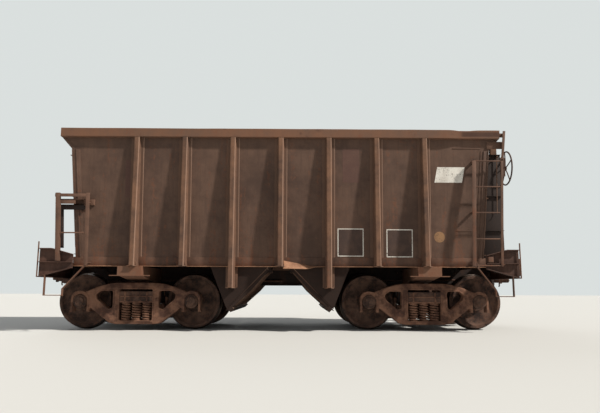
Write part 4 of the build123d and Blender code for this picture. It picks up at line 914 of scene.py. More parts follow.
class WAGON_OT_trim(WagonOperator, bpy.types.Operator):
    """Make the plates and angles that stiffen the tub's corners, posts and end walls"""
    bl_idname = "wagon.trim"
    bl_label = "Tub trim"

    def build(self):
        self.corner_plates()
        self.post_feet()
        self.end_walls()

    def corner_plates(self):
        """The plates and edge angles at the ends of the sides, and three narrow bars."""
        shape = Shape()
        flare = (HALF_LENGTH - end_x(FLARE_Z)) / (CHORD_Z - FLARE_Z)
        for sign in (-1, 1):
            for inner, outer, near, far in ((0.125, 0.0, 0.0, 0.006), (0.078, 0.062, 0.006, 0.016),
                                            (0.012, 0.0, 0.006, 0.014)):
                shape.on_side([(sign * (end_x(z) - inset), z)
                               for z, inset in rectangle(STRIP_Z, inner, FLARE_Z, outer)],
                              near, far)
            shape.on_side([(sign * (end_x(FLARE_Z) + (z - FLARE_Z) * flare - inset), z)
                           for z, inset in rectangle(FLARE_Z, 0.055, CHORD_Z, 0.0)], 0.0, 0.006)
        for z, start, stop in ((1.52, 2.70, 3.02), (1.93, 2.70, 3.02), (2.798, 2.66, 3.10)):
            shape.on_side([(start, z + 0.002), (stop, z + 0.004), (stop, z + 0.018),
                           (start, z + 0.014)], 0.0, 0.006)
        shape.double()
        shape.piece("corner_plates", "body", "tub_paint", "Sheet paint", (), 0.001)

    def post_feet(self):
        """The plates that close the posts below, with gussets or the long posts' webs."""
        shape = Shape()
        for x in POST_XS:
            long = x in LONG_POSTS
            for s in (-1, 1):
                root = x + s * POST_HALF
                if long:
                    shape.block((root, -FOOT_Y - PLATE, POST_Z + 0.010),
                                (root + s * POST_FLANGE, -FOOT_Y, SILL_Z))
                else:
                    shape.on_side([(root, SILL_Z + 0.001), (root, SILL_Z + 0.09),
                                   (root + s * 0.018, SILL_Z + 0.001)], PLATE, 0.15)
            foot, reach = POST_Z if long else SILL_Z + 0.001, POST_HALF + 0.020
            shape.block((x - reach, -HALF_WIDTH, foot), (x + reach, -FOOT_Y, foot + 0.009))
        shape.double()
        shape.piece("post_feet", "body", "tub_paint", "Post paint", (), 0.0012)

    def end_walls(self):
        """The flanges, belts and edge angles of the end walls."""
        shape = Shape()
        inner, outer = END_POST_Y - END_POST_HALF, END_POST_Y + END_POST_HALF
        for s in (-1, 1):
            for start, stop in ((inner - 0.040, inner), (outer, outer + 0.040)):
                shape.on_end(rectangle(s * start, PLATFORM_Z, s * stop, CHORD_Z), 0.0, 0.007)
        for z in (1.10, 1.98, 2.62):
            edge = side_y(z) - 0.02
            for start, stop in ((-edge, -outer), (-inner, inner), (outer, edge)):
                shape.on_end(rectangle(start, z, stop, z + 0.065), 0.0, 0.008)
                shape.on_end(rectangle(start, z + 0.057, stop, z + 0.065), 0.008, 0.040)
        for s in (-1, 1):
            for inset, rim, near, far in ((0.075, 0.012, 0.0, 0.006), (0.024, 0.012, 0.006, 0.012)):
                shape.on_end([(s * (side_y(z) - edge), z) for z, edge in
                              rectangle(BRACKET_Z + 0.03, inset, FLARE_Z, rim)], near, far)
        shape.double()
        shape.piece("end_wall_trim", "body", "tub_paint", "Post paint", (), 0.001)


class WAGON_OT_ladders(WagonOperator, bpy.types.Operator):
    """Make the ladders' stiles from flats and angles, with the arms that hold them off the tub"""
    bl_idname = "wagon.ladders"
    bl_label = "Ladders"

    def build(self):
        shape, thick = Shape(), 0.008
        out, back = -HALF_WIDTH, thick - HALF_WIDTH
        low, high = (corner.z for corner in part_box("ladder_stiles"))
        # Edges and height of a stile's foot, then of its top, and the side that its leg is on
        stiles = (((2.876, 2.934), low, (2.934, 2.996), 2.600, 1),
                  ((3.303, 3.341), low, (3.376, 3.414), 2.620, 1),
                  ((3.380, 3.420), 2.600, (3.430, 3.470), high, 1),
                  ((-2.905, -2.858), low, (-2.940, -2.880), 2.0704, -1),
                  ((-3.340, -3.276), low + 0.06, (-3.396, -3.332), 2.0704, 1))
        for (a, b), foot, (c, d), top, leg in stiles:
            shape.prism([(a, foot), (b, foot), (d, top), (c, top)], "y", out, back)
            start, stop = (b - thick, d - thick) if leg > 0 else (a, c)
            shape.loft([[(x, y, z) for x, y in rectangle(at, out + 0.001, at + thick, out + 0.048)]
                        for at, z in ((start, foot), (stop, top))])
        self.rungs(shape, low, high)
        for x, z, wide in ((2.960, 2.58, 0.028), (2.935, 1.80, 0.026), (2.905, 1.02, 0.034),
                           (-2.915, 1.92, 0.026), (-2.892, 1.02, 0.018)):
            shape.block((x - wide, back, z), (x + wide, -side_y(z + 0.02) + 0.004, z + 0.010))
        shape.prism([(2.872, 0.9724), (2.985, 0.9724), (2.945, 1.055), (2.878, 1.055)], "y",
                    back, back + thick)
        sheet = -side_y(1.94)
        for one, two in (
                # Blocks and angles at the long ladder's foot and top
                ((3.120, -1.538, 1.045), (3.195, -1.450, 1.126)),
                ((3.355, -1.474, 2.985), (3.470, -1.466, 3.050)),
                ((3.440, back, 2.990), (3.448, -1.466, 3.045)),
                ((3.190, -1.474, 2.800), (3.455, -1.466, 2.915)),
                ((3.436, back, 2.805), (3.444, -1.466, 2.910)),
                ((3.312, back, low + 0.020), (3.366, -1.470, low + 0.030)),
                # The short ladder's foot, its top bar and the angles that hold it
                ((-3.342, back, low + 0.075), (-3.284, -1.470, low + 0.085)),
                ((-3.402, out + 0.001, 2.010), (-2.880, out + 0.007, 2.058)),
                ((-3.400, -1.512, 1.905), (-3.100, -1.504, 1.980)),
                ((-3.400, -1.512, 1.972), (-2.960, -1.400, 1.980)),
                ((-2.968, -1.512, 1.880), (-2.960, -1.392, 1.980)),
                ((-2.912, sheet - 0.040, 1.895), (-2.842, sheet + 0.004, 1.985))):
            shape.block(one, two)
        shape.double()
        shape.piece("ladder_bars", "body", "ladder_paint", "Ladder paint",
                    ("ladder_stiles", "ladder_rungs"), 0.001)
        self.arms()

    def rungs(self, shape, low, high):
        """The long ladder's rungs, which widen with its stiles, and one of the short ladder."""
        y, radius = 0.006 - LADDER_Y, 0.0105
        for k in range(5):
            z = low + 0.010 + 0.4 * k
            share = (z - low) / (high - low)
            left, right = 2.90 + 0.062 * min(share * 1.24, 1.0), 3.335 + 0.09 * share
            shape.tube([(left, y, z), (right, y, z)], radius, 10)
        shape.tube([(-3.36, y, low + 0.48), (-2.90, y, low + 0.48)], radius, 10)

    def arms(self):
        """The angle and the leaning leg that carry the short ladder from the end bracket, in dark
        sooty paint that is painted shade under the ladder's top bar.
        """
        shape = Shape()
        shape.block((-3.355, -1.440, 1.825), (-2.965, -1.428, 1.905))
        shape.block((-3.355, -1.440, 1.897), (-2.965, -1.370, 1.905))
        shape.loft([[(x, y, z) for x, y in rectangle(at, -1.42, at + 0.042, -1.38)]
                    for at, z in ((-3.325, BRACKET_Z + 0.01), (-3.362, 1.85))])
        shape.double()
        shape.piece("ladder_arms", "body", "frame_paint", "Sooty paint", (), 0.001)


class WAGON_OT_rivets(WagonOperator, bpy.types.Operator):
    """Set the rivets and bolts of the underframe, the doors and the trucks"""
    bl_idname = "wagon.rivets"
    bl_label = "Rivets and bolts"

    def build(self):
        sizes = bpy.context.scene.wagon_sizes
        rivets = repeat_tree("Rivets", ("Radius", "Height"), draw_rivet)
        bolts = repeat_tree("Bolts", ("Radius", "Height"), draw_bolt)
        head = {"Radius": sizes.rivet_radius, "Height": sizes.rivet_height}
        nut = {"Radius": sizes.bolt_radius, "Height": sizes.bolt_height}
        self.underframe(rivets, bolts, head, nut)
        self.trucks(bolts, nut)
        self.doors(rivets, head)

    def underframe(self, rivets, bolts, head, nut):
        """Rivets on the centre sill and the platforms, and bolts round couplers and ladders."""
        points = [((x, -0.165, z), (0.0, -1.0, 0.0))
                  for x in (-3.0, -2.75, -2.0, -1.25, 1.25, 2.0, 2.75, 3.0) for z in (0.80, 0.92)]
        points += [((PLATFORM_X, y, z), AHEAD)
                   for y in (-1.3, -1.0, -0.7, -0.4, 0.4, 0.7, 1.0, 1.3) for z in (0.87, 0.97)]
        nuts = [((PLATFORM_X + 0.05, y, z), AHEAD)
                for y in (-0.195, 0.195) for z in (0.74, 0.865, 0.99)]
        nuts += [((x, -1.50, SILL_Z + 0.045), UP) for x in (3.340, -3.313)]
        repeat("rivets_underframe", rivets, points + turned(points), head, "body",
               "Frame paint")
        repeat("bolts_body", bolts, nuts + turned(nuts), nut, "body",
               "Ladder paint")

    def trucks(self, bolts, nut):
        """Three bolts on each bearing's cap, and four on each side frame."""
        for n, x in AXLE_X.items():
            points = [((a, side * (CAP_END - 0.002), z), (0.0, side, 0.0))
                      for side in (-1, 1) for a, z in arc((x, AXLE_Z), 0.048, 90, 330, 2)]
            repeat(f"cap_bolts_{n}", bolts, points, {"Radius": 0.015, "Height": 0.014},
                   f"wheelset_{n}", "Wheel steel")
        for end, middle in TRUCKS.items():
            points = [((middle + x, side * 1.054, z), (0.0, side, 0.0))
                      for side in (-1, 1) for x in (-0.305, 0.305) for z in (0.27, 0.48)]
            repeat(f"bolts_truck_{end}", bolts, points, nut, f"truck_{end}",
                   "Truck iron")

    def doors(self, rivets, head):
        """Rows of rivets down each door, from near its hinge to its foot."""
        hinge, foot = Vector((0.20, 0.0, 0.9554)), Vector((0.80, 0.0, 0.3454))
        down = (foot - hinge).normalized()
        out = Vector((down.z, 0.0, -down.x))
        points = []
        for y in (0.30, 0.55, 0.78, 1.02, 1.27):
            for s in (-1, 1):
                for i in range(6):
                    here = hinge + down * (0.10 + i * 0.12) + out * 0.0155
                    points.append(((here.x, s * y, here.z), tuple(out)))
        for end, places in (("a", points), ("b", turned(points))):
            repeat(f"rivets_door_{end}", rivets, places, head, f"door_{end}",
                   "Sooty paint")


class WAGON_OT_springs(WagonOperator, bpy.types.Operator):
    """Wind the truck springs: two coils in each place, outer and inner"""
    bl_idname = "wagon.springs"
    bl_label = "Springs"

    def build(self):
        sizes = bpy.context.scene.wagon_sizes
        tree = repeat_tree("Springs", ("Radius", "Wire", "Height", "Turns"), draw_coil)
        wire = sizes.coil_wire
        low, high = (corner.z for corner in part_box("springs_a"))
        values = {"Radius": 0.0755 - wire, "Wire": wire, "Height": high - low - 2 * wire,
                  "Turns": sizes.coil_turns}
        for end, middle in TRUCKS.items():
            places = [(middle + dx, side * y) for side in (-1, 1) for y in (0.978, 0.828)
                      for dx in (-0.163, 0.0, 0.163)]
            made = repeat(f"coils_{end}", tree, [((x, y, low + wire), UP) for x, y in places],
                          values, f"truck_{end}", "Spring steel")
            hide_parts(f"springs_{end}")
            shape = Shape()
            for x, y in places:
                for start, stop in ((low, low + 0.008), (high - 0.010, high)):
                    shape.ring(start, stop, 0.04, 0.072, (x, y, 0.0), "z", 24)
            shape.piece(f"spring_seats_{end}", f"truck_{end}", "spring_steel", "Spring steel")


class WAGON_OT_side_frames(WagonOperator, bpy.types.Operator):
    """Cast the truck side frames, with rounded windows and narrow pedestals"""
    bl_idname = "wagon.side_frames"
    bl_label = "Side frames"

    def build(self):
        outline, holes = self.outlines()
        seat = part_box("springs_a")[0].z
        for end, middle in TRUCKS.items():
            shape = Shape()
            here = [(middle + x, z) for x, z in outline]
            gaps = [[(middle + x, z) for x, z in hole] for hole in holes]
            for side in (-1, 1):
                shape.plate(here, gaps, "y", side * 0.9015, side * (FRAME_FACE - 0.006), 0.014,
                            0.024, 4)
                for gap, radius in zip(gaps, (0.03, 0.045, 0.045)):
                    shape.plate(grown(gap, 0.022), [grown(gap, 0.001)], "y", side * 0.8955,
                                side * FRAME_FACE, 0.006, radius)
                for s in (-1, 1):
                    self.pedestal(shape, middle + s * HALF_BASE, side)
                shape.block((middle - 0.29, side * 0.76, seat - 0.030),
                            (middle + 0.29, side * 0.9, seat))
            shape.piece(f"cast_frames_{end}", f"truck_{end}", "truck_iron", "Truck iron",
                        (f"side_frames_{end}",), angle=32.0)

    def outlines(self):
        """A side frame's outline about its middle, with the spring opening and two windows."""
        keel, crown = (corner.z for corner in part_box("side_frames_a"))
        inner, outer = HALF_BASE - 0.14, HALF_BASE + 0.14
        leg, roof = AXLE_Z - 0.16, AXLE_Z + BEARING_RADIUS + 0.046
        outline = mirrored([
            (0.30, keel), (0.40, keel + 0.018), (inner - 0.02, leg + 0.062), (inner - 0.004, leg),
            (HALF_BASE - BEARING_RADIUS, leg),
            *arc((HALF_BASE, AXLE_Z), BEARING_RADIUS, 180, 0, 10),
            (HALF_BASE + BEARING_RADIUS, leg), (outer, leg), (outer, roof - 0.07),
            (outer - 0.055, roof), (inner + 0.05, roof), (0.62, crown - 0.070),
            (0.44, crown - 0.018), (0.30, crown)])
        window = [(0.357, 0.352), (0.357, 0.606), (0.545, 0.606), (0.622, 0.548), (0.600, 0.480),
                  (0.420, 0.322)]
        return outline, [rectangle(-0.256, 0.1514, 0.256, 0.630),
                         [(-x, z) for x, z in window], window]

    def pedestal(self, shape, x, side):
        """The raised rim round a pedestal's jaws, and the feet of its legs."""
        foot, inner, outer = 0.2844, 0.109, 0.139
        band = arc((x, AXLE_Z + 0.022), outer, 0, 180, 12) + [(x - outer, foot), (x - inner, foot)]
        band += arc((x, AXLE_Z + 0.010), inner, 180, 0, 12) + [(x + inner, foot), (x + outer, foot)]
        shape.prism(band, "y", side * 1.050, side * FRAME_FACE)
        for s in (-1, 1):
            shape.block((x + s * 0.108, side * 0.91, foot), (x + s * 0.152, side * 1.0595, 0.300))


class WAGON_OT_wheels(WagonOperator, bpy.types.Operator):
    """Turn the wheels, with coned treads, rounded flanges and dished plates"""
    bl_idname = "wagon.wheels"
    bl_label = "Wheels"

    def build(self):
        for n, x in AXLE_X.items():
            self.pair(n, (x, 0.0, AXLE_Z))
            self.rings(n, (x, 0.0, AXLE_Z))

    def pair(self, n, centre):
        """Both wheels of an axle, turned from one profile."""
        shape = Shape()
        shape.lathe(self.profile(), centre, "y", bpy.context.scene.wagon_sizes.lathe_sides,
                    closed=True)
        shape.double(centre)
        shape.piece(f"wheel_pair_{n}", f"wheelset_{n}", "wheel_steel", "Wheel steel",
                    (f"wheels_{n}",), angle=32.0)

    def profile(self):
        """Places across the axle and radii, once round a wheel's section."""
        tread = TREAD_RADIUS
        return [
            # The flange
            (0.677, 0.372), (0.677, 0.425), (0.680, 0.436), (0.686, 0.4425),
            (0.692, FLANGE_RADIUS), (0.699, 0.4425), (0.704, 0.436), (0.709, 0.427),
            (0.717, 0.4215),
            # The coned tread and the rim
            (0.728, tread + 0.001), (0.770, tread - 0.001), (0.812, tread - 0.003),
            (0.819, tread - 0.006), (WHEEL_OUTER, tread - 0.012), (WHEEL_OUTER, 0.372),
            # The plate's outer face, the hub and the plate's inner face
            (0.819, 0.366), (0.800, 0.355), (0.784, 0.335), (0.772, 0.300), (0.765, 0.240),
            (0.764, 0.190), (0.772, 0.162), (0.795, 0.146), (0.829, 0.140), (0.829, 0.102),
            (0.651, 0.102), (0.651, 0.140), (0.690, 0.146), (0.716, 0.160), (0.730, 0.190),
            (0.738, 0.240), (0.744, 0.300), (0.738, 0.335), (0.715, 0.356), (0.682, 0.366)]

    def rings(self, n, centre):
        """Two raised rings on each bearing, and the plug in the middle of its cap."""
        shape = Shape()
        for side in (-1, 1):
            for start, radius, wide in ((0.876, 0.100, 0.016), (1.069, 0.088, 0.012)):
                stop = start + wide
                rows = [(start, 0.04), (start, radius), (start + wide / 2, radius + 0.003),
                        (stop, radius), (stop, 0.04)]
                shape.lathe([(side * y, r) for y, r in rows], centre, "y", 40, closed=True)
            low, high = side * (CAP_END - 0.004), side * (CAP_END + 0.004)
            shape.lathe([(low, TIP), (low, 0.022), (high, 0.018), (high, TIP)], centre, "y", 16)
        shape.piece(f"bearing_rings_{n}", f"wheelset_{n}", "wheel_steel", "Wheel steel")


class WAGON_OT_trucks(WagonOperator, bpy.types.Operator):
    """Make the trucks' bolster ends, bearing adapters and brake levers"""
    bl_idname = "wagon.trucks"
    bl_label = "Truck details"

    def build(self):
        for end, middle in TRUCKS.items():
            self.bolster(end, middle)
            self.rigging(end, middle)

    def bolster(self, end, middle):
        """The ribbed ends of the truck bolster, and the adapters over the bearings."""
        shape = Shape()
        for side in (-1, 1):
            near, far = sorted((side * 1.040, side * FRAME_FACE))
            for z, tall in ((0.4262, 0.020), (0.512, 0.014)):
                shape.block((middle - 0.248, near, z), (middle + 0.248, far, z + tall))
            for x in (middle - 0.17, middle + 0.17):
                shape.block((x - 0.012, near, 0.43), (x + 0.012, far - side * 0.003, 0.59))
            for x in (middle - HALF_BASE, middle + HALF_BASE):
                top = AXLE_Z + 0.1075
                saddle = arc((x, AXLE_Z), 0.107, 39.6, 140.4, 8)
                saddle += [(x - 0.079, top), (x + 0.079, top)]
                shape.prism(saddle, "y", side * 0.90, side * 1.055)
        shape.piece(f"bolster_ends_{end}", f"truck_{end}", "truck_iron", "Truck iron", (), 0.003)

    def rigging(self, end, middle):
        """The brake levers, the rod between them with its pins, and the hangers."""
        shape, rod_z = Shape(), 0.315
        lever = [(0.375, 0.30), (0.41, 0.30), (0.31, 0.64), (0.275, 0.64)]
        for s in (-1, 1):
            shape.plate([(middle + s * x, z) for x, z in lever], [], "y", 0.035, 0.055, 0.004,
                        0.014)
            for y in (-0.60, 0.60):
                hanger = ((0.385, y, 0.36), (0.37, y, 0.45), (0.34, y * 1.02, 0.55),
                          (0.33, y * 1.02, 0.62))
                shape.tube([(middle + s * x, across, z) for x, across, z in hanger], 0.010, 8)
        shape.tube([(middle - 0.39, 0.045, rod_z), (middle + 0.39, 0.045, rod_z)], 0.016, 12)
        for x in (middle - 0.40, middle + 0.40):
            shape.tube([(x, 0.02, rod_z), (x, 0.07, rod_z)], 0.012, 8)
        shape.piece(f"truck_rigging_{end}", f"truck_{end}", "truck_iron", "Truck iron")


class WAGON_OT_couplers(WagonOperator, bpy.types.Operator):
    """Cast the couplers and their knuckles"""
    bl_idname = "wagon.couplers"
    bl_label = "Couplers"

    def build(self):
        reach, back, wide = COUPLER_X, 0.25, 0.33
        low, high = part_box("coupler_a")
        middle = (low.z + high.z) / 2
        # Shares of the head's length, back from the pulling face, and of its width
        head = [(0.76, -0.41), (0.40, -0.52), (0.16, -0.59), (0.12, -0.41), (0.44, -0.23),
                (0.60, 0.0), (0.44, 0.21), (0.24, 0.24), (0.24, 0.42), (0.72, 0.42)]
        knuckle = [(0.245, 0.41), (0.245, 0.18), (0.40, 0.12), (0.33, -0.05), (0.20, -0.10),
                   (0.08, -0.09), (0.0, 0.03), (0.0, 0.27), (0.10, 0.41)]
        outline = [(reach - back, -0.065), *((reach - back * a, wide * b) for a, b in head),
                   (reach - back, 0.065)]
        for end in "ab":
            shape = Shape()
            shape.plate(outline, [], "z", middle - 0.14, middle + 0.14, 0.022, 0.03)
            for z in (middle - 0.10, middle, middle + 0.10):
                shape.plate(grown(outline, 0.006), [], "z", z - 0.009, z + 0.009, 0.005, 0.03)
            for half, stop in ((0.065, back - 0.03), (0.1527, 0.52)):
                shape.prism(rectangle(-half, middle - 0.065, half, middle + 0.065), "x",
                            reach - 0.77, reach - stop)
            shape.lathe([(middle - 0.155, TIP), (middle - 0.155, 0.02), (middle - 0.145, 0.026),
                         (middle + 0.145, 0.026), (middle + 0.155, 0.02), (middle + 0.155, TIP)],
                        (reach - 0.088, 0.105, 0.0), "z", 20)
            shape.tube([(reach - 0.14, 0.03, middle - 0.12), (reach - 0.14, 0.03, middle - 0.19),
                        (reach - 0.15, 0.03, middle - 0.21)], 0.012, 8)
            if end == "b":
                shape.turn_round()
            shape.piece(f"coupler_head_{end}", "body", "coupler_iron", "Coupler iron",
                        (f"coupler_{end}",), 0.004, 32.0)
        jaws = Shape()
        fist = [(reach - back * a - 0.0005, wide * b) for a, b in knuckle]
        jaws.plate(fist, [], "z", middle - 0.12, middle + 0.12, 0.016, 0.024)
        jaws.double()
        jaws.piece("coupler_knuckles", "body", "coupler_iron", "Coupler iron", ("knuckles",),
                   angle=32.0)


class WAGON_OT_brake(WagonOperator, bpy.types.Operator):
    """Make the hand brake's wheel and chain, the train pipe and the brake rods"""
    bl_idname = "wagon.brake"
    bl_label = "Brake gear"

    def build(self):
        self.wheel_and_chain()
        self.stand()
        self.pipes()
        self.tanks()

    def wheel_and_chain(self):
        """The hand wheel with its five spokes, and the chain that hangs beside it."""
        low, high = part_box("brake_wheel")
        x, y, z = (low + high) / 2
        radius, bar = (high.z - low.z) / 2, 0.012
        wheel = Shape()
        wheel.tube([(x, b, c) for b, c in circle((y, z), radius - bar, 64)], bar, 12, closed=True)
        for k in range(5):
            turn = math.radians(90 + 72 * k)
            path = []
            for share in (i / 6 for i in range(7)):
                reach = 0.02 + share * (radius - 0.03)
                path.append((x - 0.006 + 0.004 * math.sin(math.pi * share),
                             y + reach * math.cos(turn), z + reach * math.sin(turn)))
            wheel.tube(path, 0.009, 10)
        wheel.lathe([(x - 0.05, TIP), (x - 0.05, 0.022), (x - 0.013, 0.024), (x - 0.012, 0.036),
                     (x + 0.008, 0.034), (x + 0.012, 0.02), (x + 0.013, TIP)],
                    (0.0, y, z), "x", 32)
        wheel.piece("hand_wheel", "body", "ladder_paint", "Frame paint", ("brake_wheel",),
                    angle=45.0)
        chain = repeat_tree("Chain", ("Radius", "Wire"), draw_link)
        links = [((PLATFORM_X - 0.10, y + 0.09, PLATFORM_Z + 0.01 + i * 0.0385),
                  AHEAD if i % 2 else (0.0, 1.0, 0.0)) for i in range(32)]
        repeat("brake_chain", chain, links, {"Radius": 0.026, "Wire": 0.006}, "body",
               "Ladder paint")

    def stand(self):
        """The plate that braces the hand brake against the end wall, whose dark sooty paint is
        painted shade, and the hook before it.
        """
        low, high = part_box("brake_housing")
        face, foot, top, edge = low.y - 0.015, low.z - 0.012, high.z + 0.04, 3.500
        shape = Shape()
        shape.prism([(end_x(foot) - 0.004, foot), (edge, foot), (edge, top),
                     (end_x(top) - 0.004, top)], "y", face, face + PLATE)
        shape.prism(rectangle(edge - PLATE, foot, edge, top), "y", face, face + 0.05)
        for z in (1.55, 2.10, top - PLATE):
            shape.block((end_x(z) - 0.004, face - 0.035, z), (edge, face, z + PLATE))
        # The stand's dark sooty paint is painted shade
        shape.piece("brake_stand", "body", "frame_paint", "Sooty paint", (), 0.001)
        hook = Shape()
        hook.tube([(3.435, face - 0.03, 2.74), (3.402, face - 0.03, 1.85),
                   (3.401, face - 0.045, 1.82), (3.401, face - 0.06, 1.835)], 0.007, 8)
        hook.tube([(3.435, face - 0.055, 2.74), (3.435, face, 2.74)], 0.011, 8)
        hook.block((3.335, face - 0.05, top - 0.004), (3.430, face + 0.02, top + 0.092))
        hook.piece("brake_hook", "body", "ladder_paint", "Post paint")

    def pipes(self):
        """The train pipe along the sill, its cocks and brackets, and a brake rod."""
        shape = Shape()
        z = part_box("end_pipes")[0].z + 0.035
        cock = [(3.655, TIP), (3.655, 0.034), (3.675, 0.034), (3.675, 0.026), (3.705, 0.026),
                (3.705, 0.018), (3.69, 0.018), (3.69, TIP)]
        pipe = ((2.44, 0.33, z), (2.40, 0.325, z), (2.34, 0.27, z + 0.01), (2.28, 0.215, z + 0.02),
                (2.2, 0.207, z + 0.02), (0.0, 0.207, z + 0.02))
        handle = ((3.645, 0.33, z + 0.035), (3.645, 0.33, z + 0.07), (3.66, 0.30, z + 0.085),
                  (3.70, 0.23, z + 0.085))
        rod = ((3.0, -0.21, 0.80), (1.1, -0.21, 0.78))
        for s in (-1, 1):
            for path, radius, sides in ((pipe, 0.017, 12), (rod, 0.014, 10), (handle, 0.008, 8)):
                shape.tube([(s * x, s * y, up) for x, y, up in path], radius, sides)
            for x in (1.2, 1.9, 2.8):
                shape.block((s * x - 0.02, s * 0.17, z - 0.005),
                            (s * x + 0.02, s * 0.235, z + 0.045))
            shape.lathe([(s * x, radius) for x, radius in cock], (0.0, s * 0.33, z), "x", 20)
        shape.piece("train_pipe", "body", "frame_paint", "Frame paint")

    def tanks(self):
        """Bands round the air tanks, and their dished heads."""
        shape = Shape()
        centre = (TRUCK_X, 0.0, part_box("air_tanks")[0].z + 0.283)
        for start, stop, radius in ((0.225, 0.985, 0.17), (-0.745, -0.225, 0.145)):
            for y in (start + 0.12, stop - 0.12):
                shape.ring(y - 0.02, y + 0.02, radius - 0.004, radius + 0.005, centre, "y", 40)
            for y, s in ((start, -1), (stop, 1)):
                shape.lathe([(y - s * 0.004, radius - 0.002), (y + s * 0.012, radius * 0.94),
                             (y + s * 0.028, radius * 0.7), (y + s * 0.036, radius * 0.35),
                             (y + s * 0.038, TIP)], centre, "y", 40)
        shape.piece("tank_fittings", "body", "frame_paint", "Frame paint")


class WAGON_OT_marks(WagonOperator, bpy.types.Operator):
    """Paint the bare frames, the round mark and the plain patches on the near side"""
    bl_idname = "wagon.marks"
    bl_label = "Marks"

    def build(self):
        white, dark, patch, dot = Shape(), Shape(), Shape(), Shape()
        bar, thick = 0.013, 0.0012
        for left, right, low, high in ((0.875, 1.273, 1.109, 1.535), (1.626, 2.027, 1.100, 1.526)):
            low, high = low + RAIL_Z, high + RAIL_Z
            for strip in ((left, low, right, low + bar), (left, high - bar, right, high),
                          (left, low + bar, left + bar, high - bar),
                          (right - bar, low + bar, right, high - bar)):
                self.film(white, rectangle(*strip), thick)
            self.film(dark, rectangle(left + bar, low + bar, right - bar, high - bar), 0.0008)
        low, high = 2.25 + RAIL_Z, 2.49 + RAIL_Z
        self.film(white, [(2.375, low), (2.80, low), (2.845, high), (2.42, high)], thick)
        self.film(patch, rectangle(0.954, 2.27, 1.214, 2.79), 0.0007)
        self.film(patch, rectangle(-2.39, 2.02, -2.31, 2.60), 0.0007)
        self.film(dot, circle((2.44, 1.41 + RAIL_Z), 0.0825, 40), thick)
        white.piece("white_marks", "body", "tub_paint", "White paint")
        dark.piece("dark_panels", "body", "tub_paint", "Dark paint")
        patch.piece("paint_patches", "body", "tub_paint", "Patch paint")
        dot.piece("round_mark", "body", "tub_paint", "Yellow paint")

    def film(self, shape, outline, thick):
        """A coat of paint that reaches a little into the sheet."""
        shape.on_side(outline, -0.002, thick)


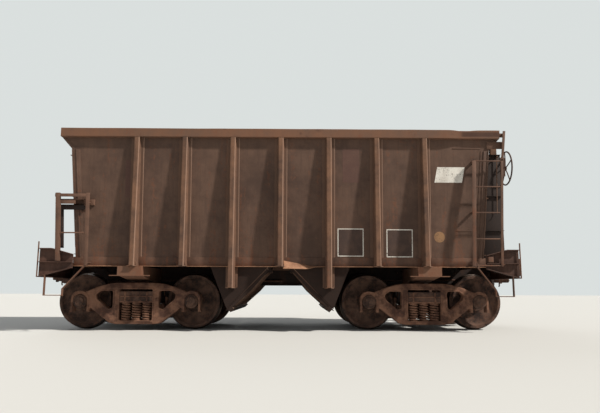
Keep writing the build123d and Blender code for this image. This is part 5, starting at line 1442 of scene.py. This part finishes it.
class WAGON_OT_stage(WagonOperator, bpy.types.Operator):
    """Set the pale floor, the soft studio light and the camera"""
    bl_idname = "wagon.stage"
    bl_label = "Stage"

    def build(self):
        bpy.context.scene.view_settings.view_transform = "Standard"
        self.floor()
        self.studio()
        self.lamps()
        self.camera()

    def floor(self):
        """A wide flat floor."""
        data, reach = bpy.data.meshes.new("floor"), 60.0
        data.from_pydata([(x, y, 0.0) for x, y in rectangle(-reach, -reach, reach, reach)], [],
                         [range(4)])
        pale = Finish("Pale floor")
        pale.finish(tuple(bpy.context.scene.wagon_colours.floor) + (1.0,), 0.9, specular=0.1)
        data.materials.append(pale.material)
        floor = linked("floor", data)

    def studio(self):
        """Dim light from all round, and a pale backdrop where the camera looks."""
        world = bpy.data.worlds.new("studio")
        bpy.context.scene.world = world
        world.use_nodes = True
        world.node_tree.nodes.clear()
        tree = Tree(world.node_tree)
        rays = tree.node("ShaderNodeLightPath").socket.node.outputs
        seen = Value(tree, rays["Is Camera Ray"])
        for name in ("Is Glossy Ray", "Is Transmission Ray"):
            seen = seen.math("MAXIMUM", Value(tree, rays[name]))
        light = tree.node("ShaderNodeBackground", {"Color": (0.98, 0.98, 0.97, 1.0),
                                                   "Strength": 0.25})
        backdrop = tree.node("ShaderNodeBackground", {"Color": (0.74, 0.78, 0.77, 1.0),
                                                      "Strength": 0.95})
        mixed = tree.node("ShaderNodeMixShader", {0: seen, 1: light, 2: backdrop})
        end = world.node_tree.nodes.new("ShaderNodeOutputWorld")
        tree.feed(end.inputs["Surface"], mixed)

    def lamps(self):
        """A warm key light, a soft fill and a light from behind, placed by their bearings."""
        for name, power, soft, turn, tilt, tone in (
                ("key", 5.0, 3.0, 65.0, 41.0, (1.0, 0.94, 0.86)),
                ("fill", 0.28, 60.0, -30.0, 20.0, (0.94, 0.97, 1.0)),
                ("back", 0.6, 40.0, 205.0, 30.0, (0.96, 0.98, 1.0))):
            lamp = bpy.data.lights.new(name, "SUN")
            lamp.energy, lamp.angle, lamp.color = power, math.radians(soft), tone
            across, up = math.radians(turn), math.radians(tilt)
            way = Vector((math.sin(across) * math.cos(up), -math.cos(across) * math.cos(up),
                          math.sin(up)))
            made = linked(name, lamp)
            made.rotation_mode = "QUATERNION"
            made.rotation_quaternion = way.to_track_quat("Z", "Y")

    def camera(self):
        """The camera's place and turns, as the picture's lines give them."""
        lens = bpy.data.cameras.new("camera")
        lens.lens, lens.sensor_width = 33.6, 36.0
        made = linked("camera", lens)
        aim = (Matrix.Rotation(math.radians(-0.52), 4, "Z")
               @ Matrix.Rotation(math.radians(90 + 8.42), 4, "X")
               @ Matrix.Rotation(math.radians(0.19), 4, "Z"))
        made.matrix_world = Matrix.Translation((0.22, -9.91, 0.635)) @ aim
        bpy.context.scene.camera = made


OPERATORS = (WAGON_OT_finishes, WAGON_OT_chords, WAGON_OT_sills, WAGON_OT_posts, WAGON_OT_trim,
             WAGON_OT_rivets, WAGON_OT_ladders, WAGON_OT_springs, WAGON_OT_side_frames,
             WAGON_OT_wheels, WAGON_OT_trucks, WAGON_OT_couplers, WAGON_OT_brake,
             WAGON_OT_marks, WAGON_OT_stage)


class WAGON_PT_panel(bpy.types.Panel):
    """Lists the wagon's pieces in the 3D view's sidebar"""
    bl_idname = "WAGON_PT_panel"
    bl_label = "Wagon"
    bl_space_type = "VIEW_3D"
    bl_region_type = "UI"
    bl_category = "Wagon"

    def draw(self, context):
        for operator in OPERATORS:
            self.layout.operator(operator.bl_idname)
        for group in (context.scene.wagon_colours, context.scene.wagon_sizes):
            for name in group.bl_rna.properties.keys():
                if name not in ("rna_type", "name"):
                    self.layout.prop(group, name)


CLASSES = (WagonColours, WagonSizes, *OPERATORS, WAGON_PT_panel)


def register():
    for made in CLASSES:
        bpy.utils.register_class(made)
    bpy.types.Scene.wagon_colours = PointerProperty(type=WagonColours)
    bpy.types.Scene.wagon_sizes = PointerProperty(type=WagonSizes)


def unregister():
    del bpy.types.Scene.wagon_colours, bpy.types.Scene.wagon_sizes
    for made in reversed(CLASSES):
        bpy.utils.unregister_class(made)


def main():
    register()
    for operator in OPERATORS:
        group, name = operator.bl_idname.split(".")
        getattr(getattr(bpy.ops, group), name)()


if __name__ == "__main__":
    main()
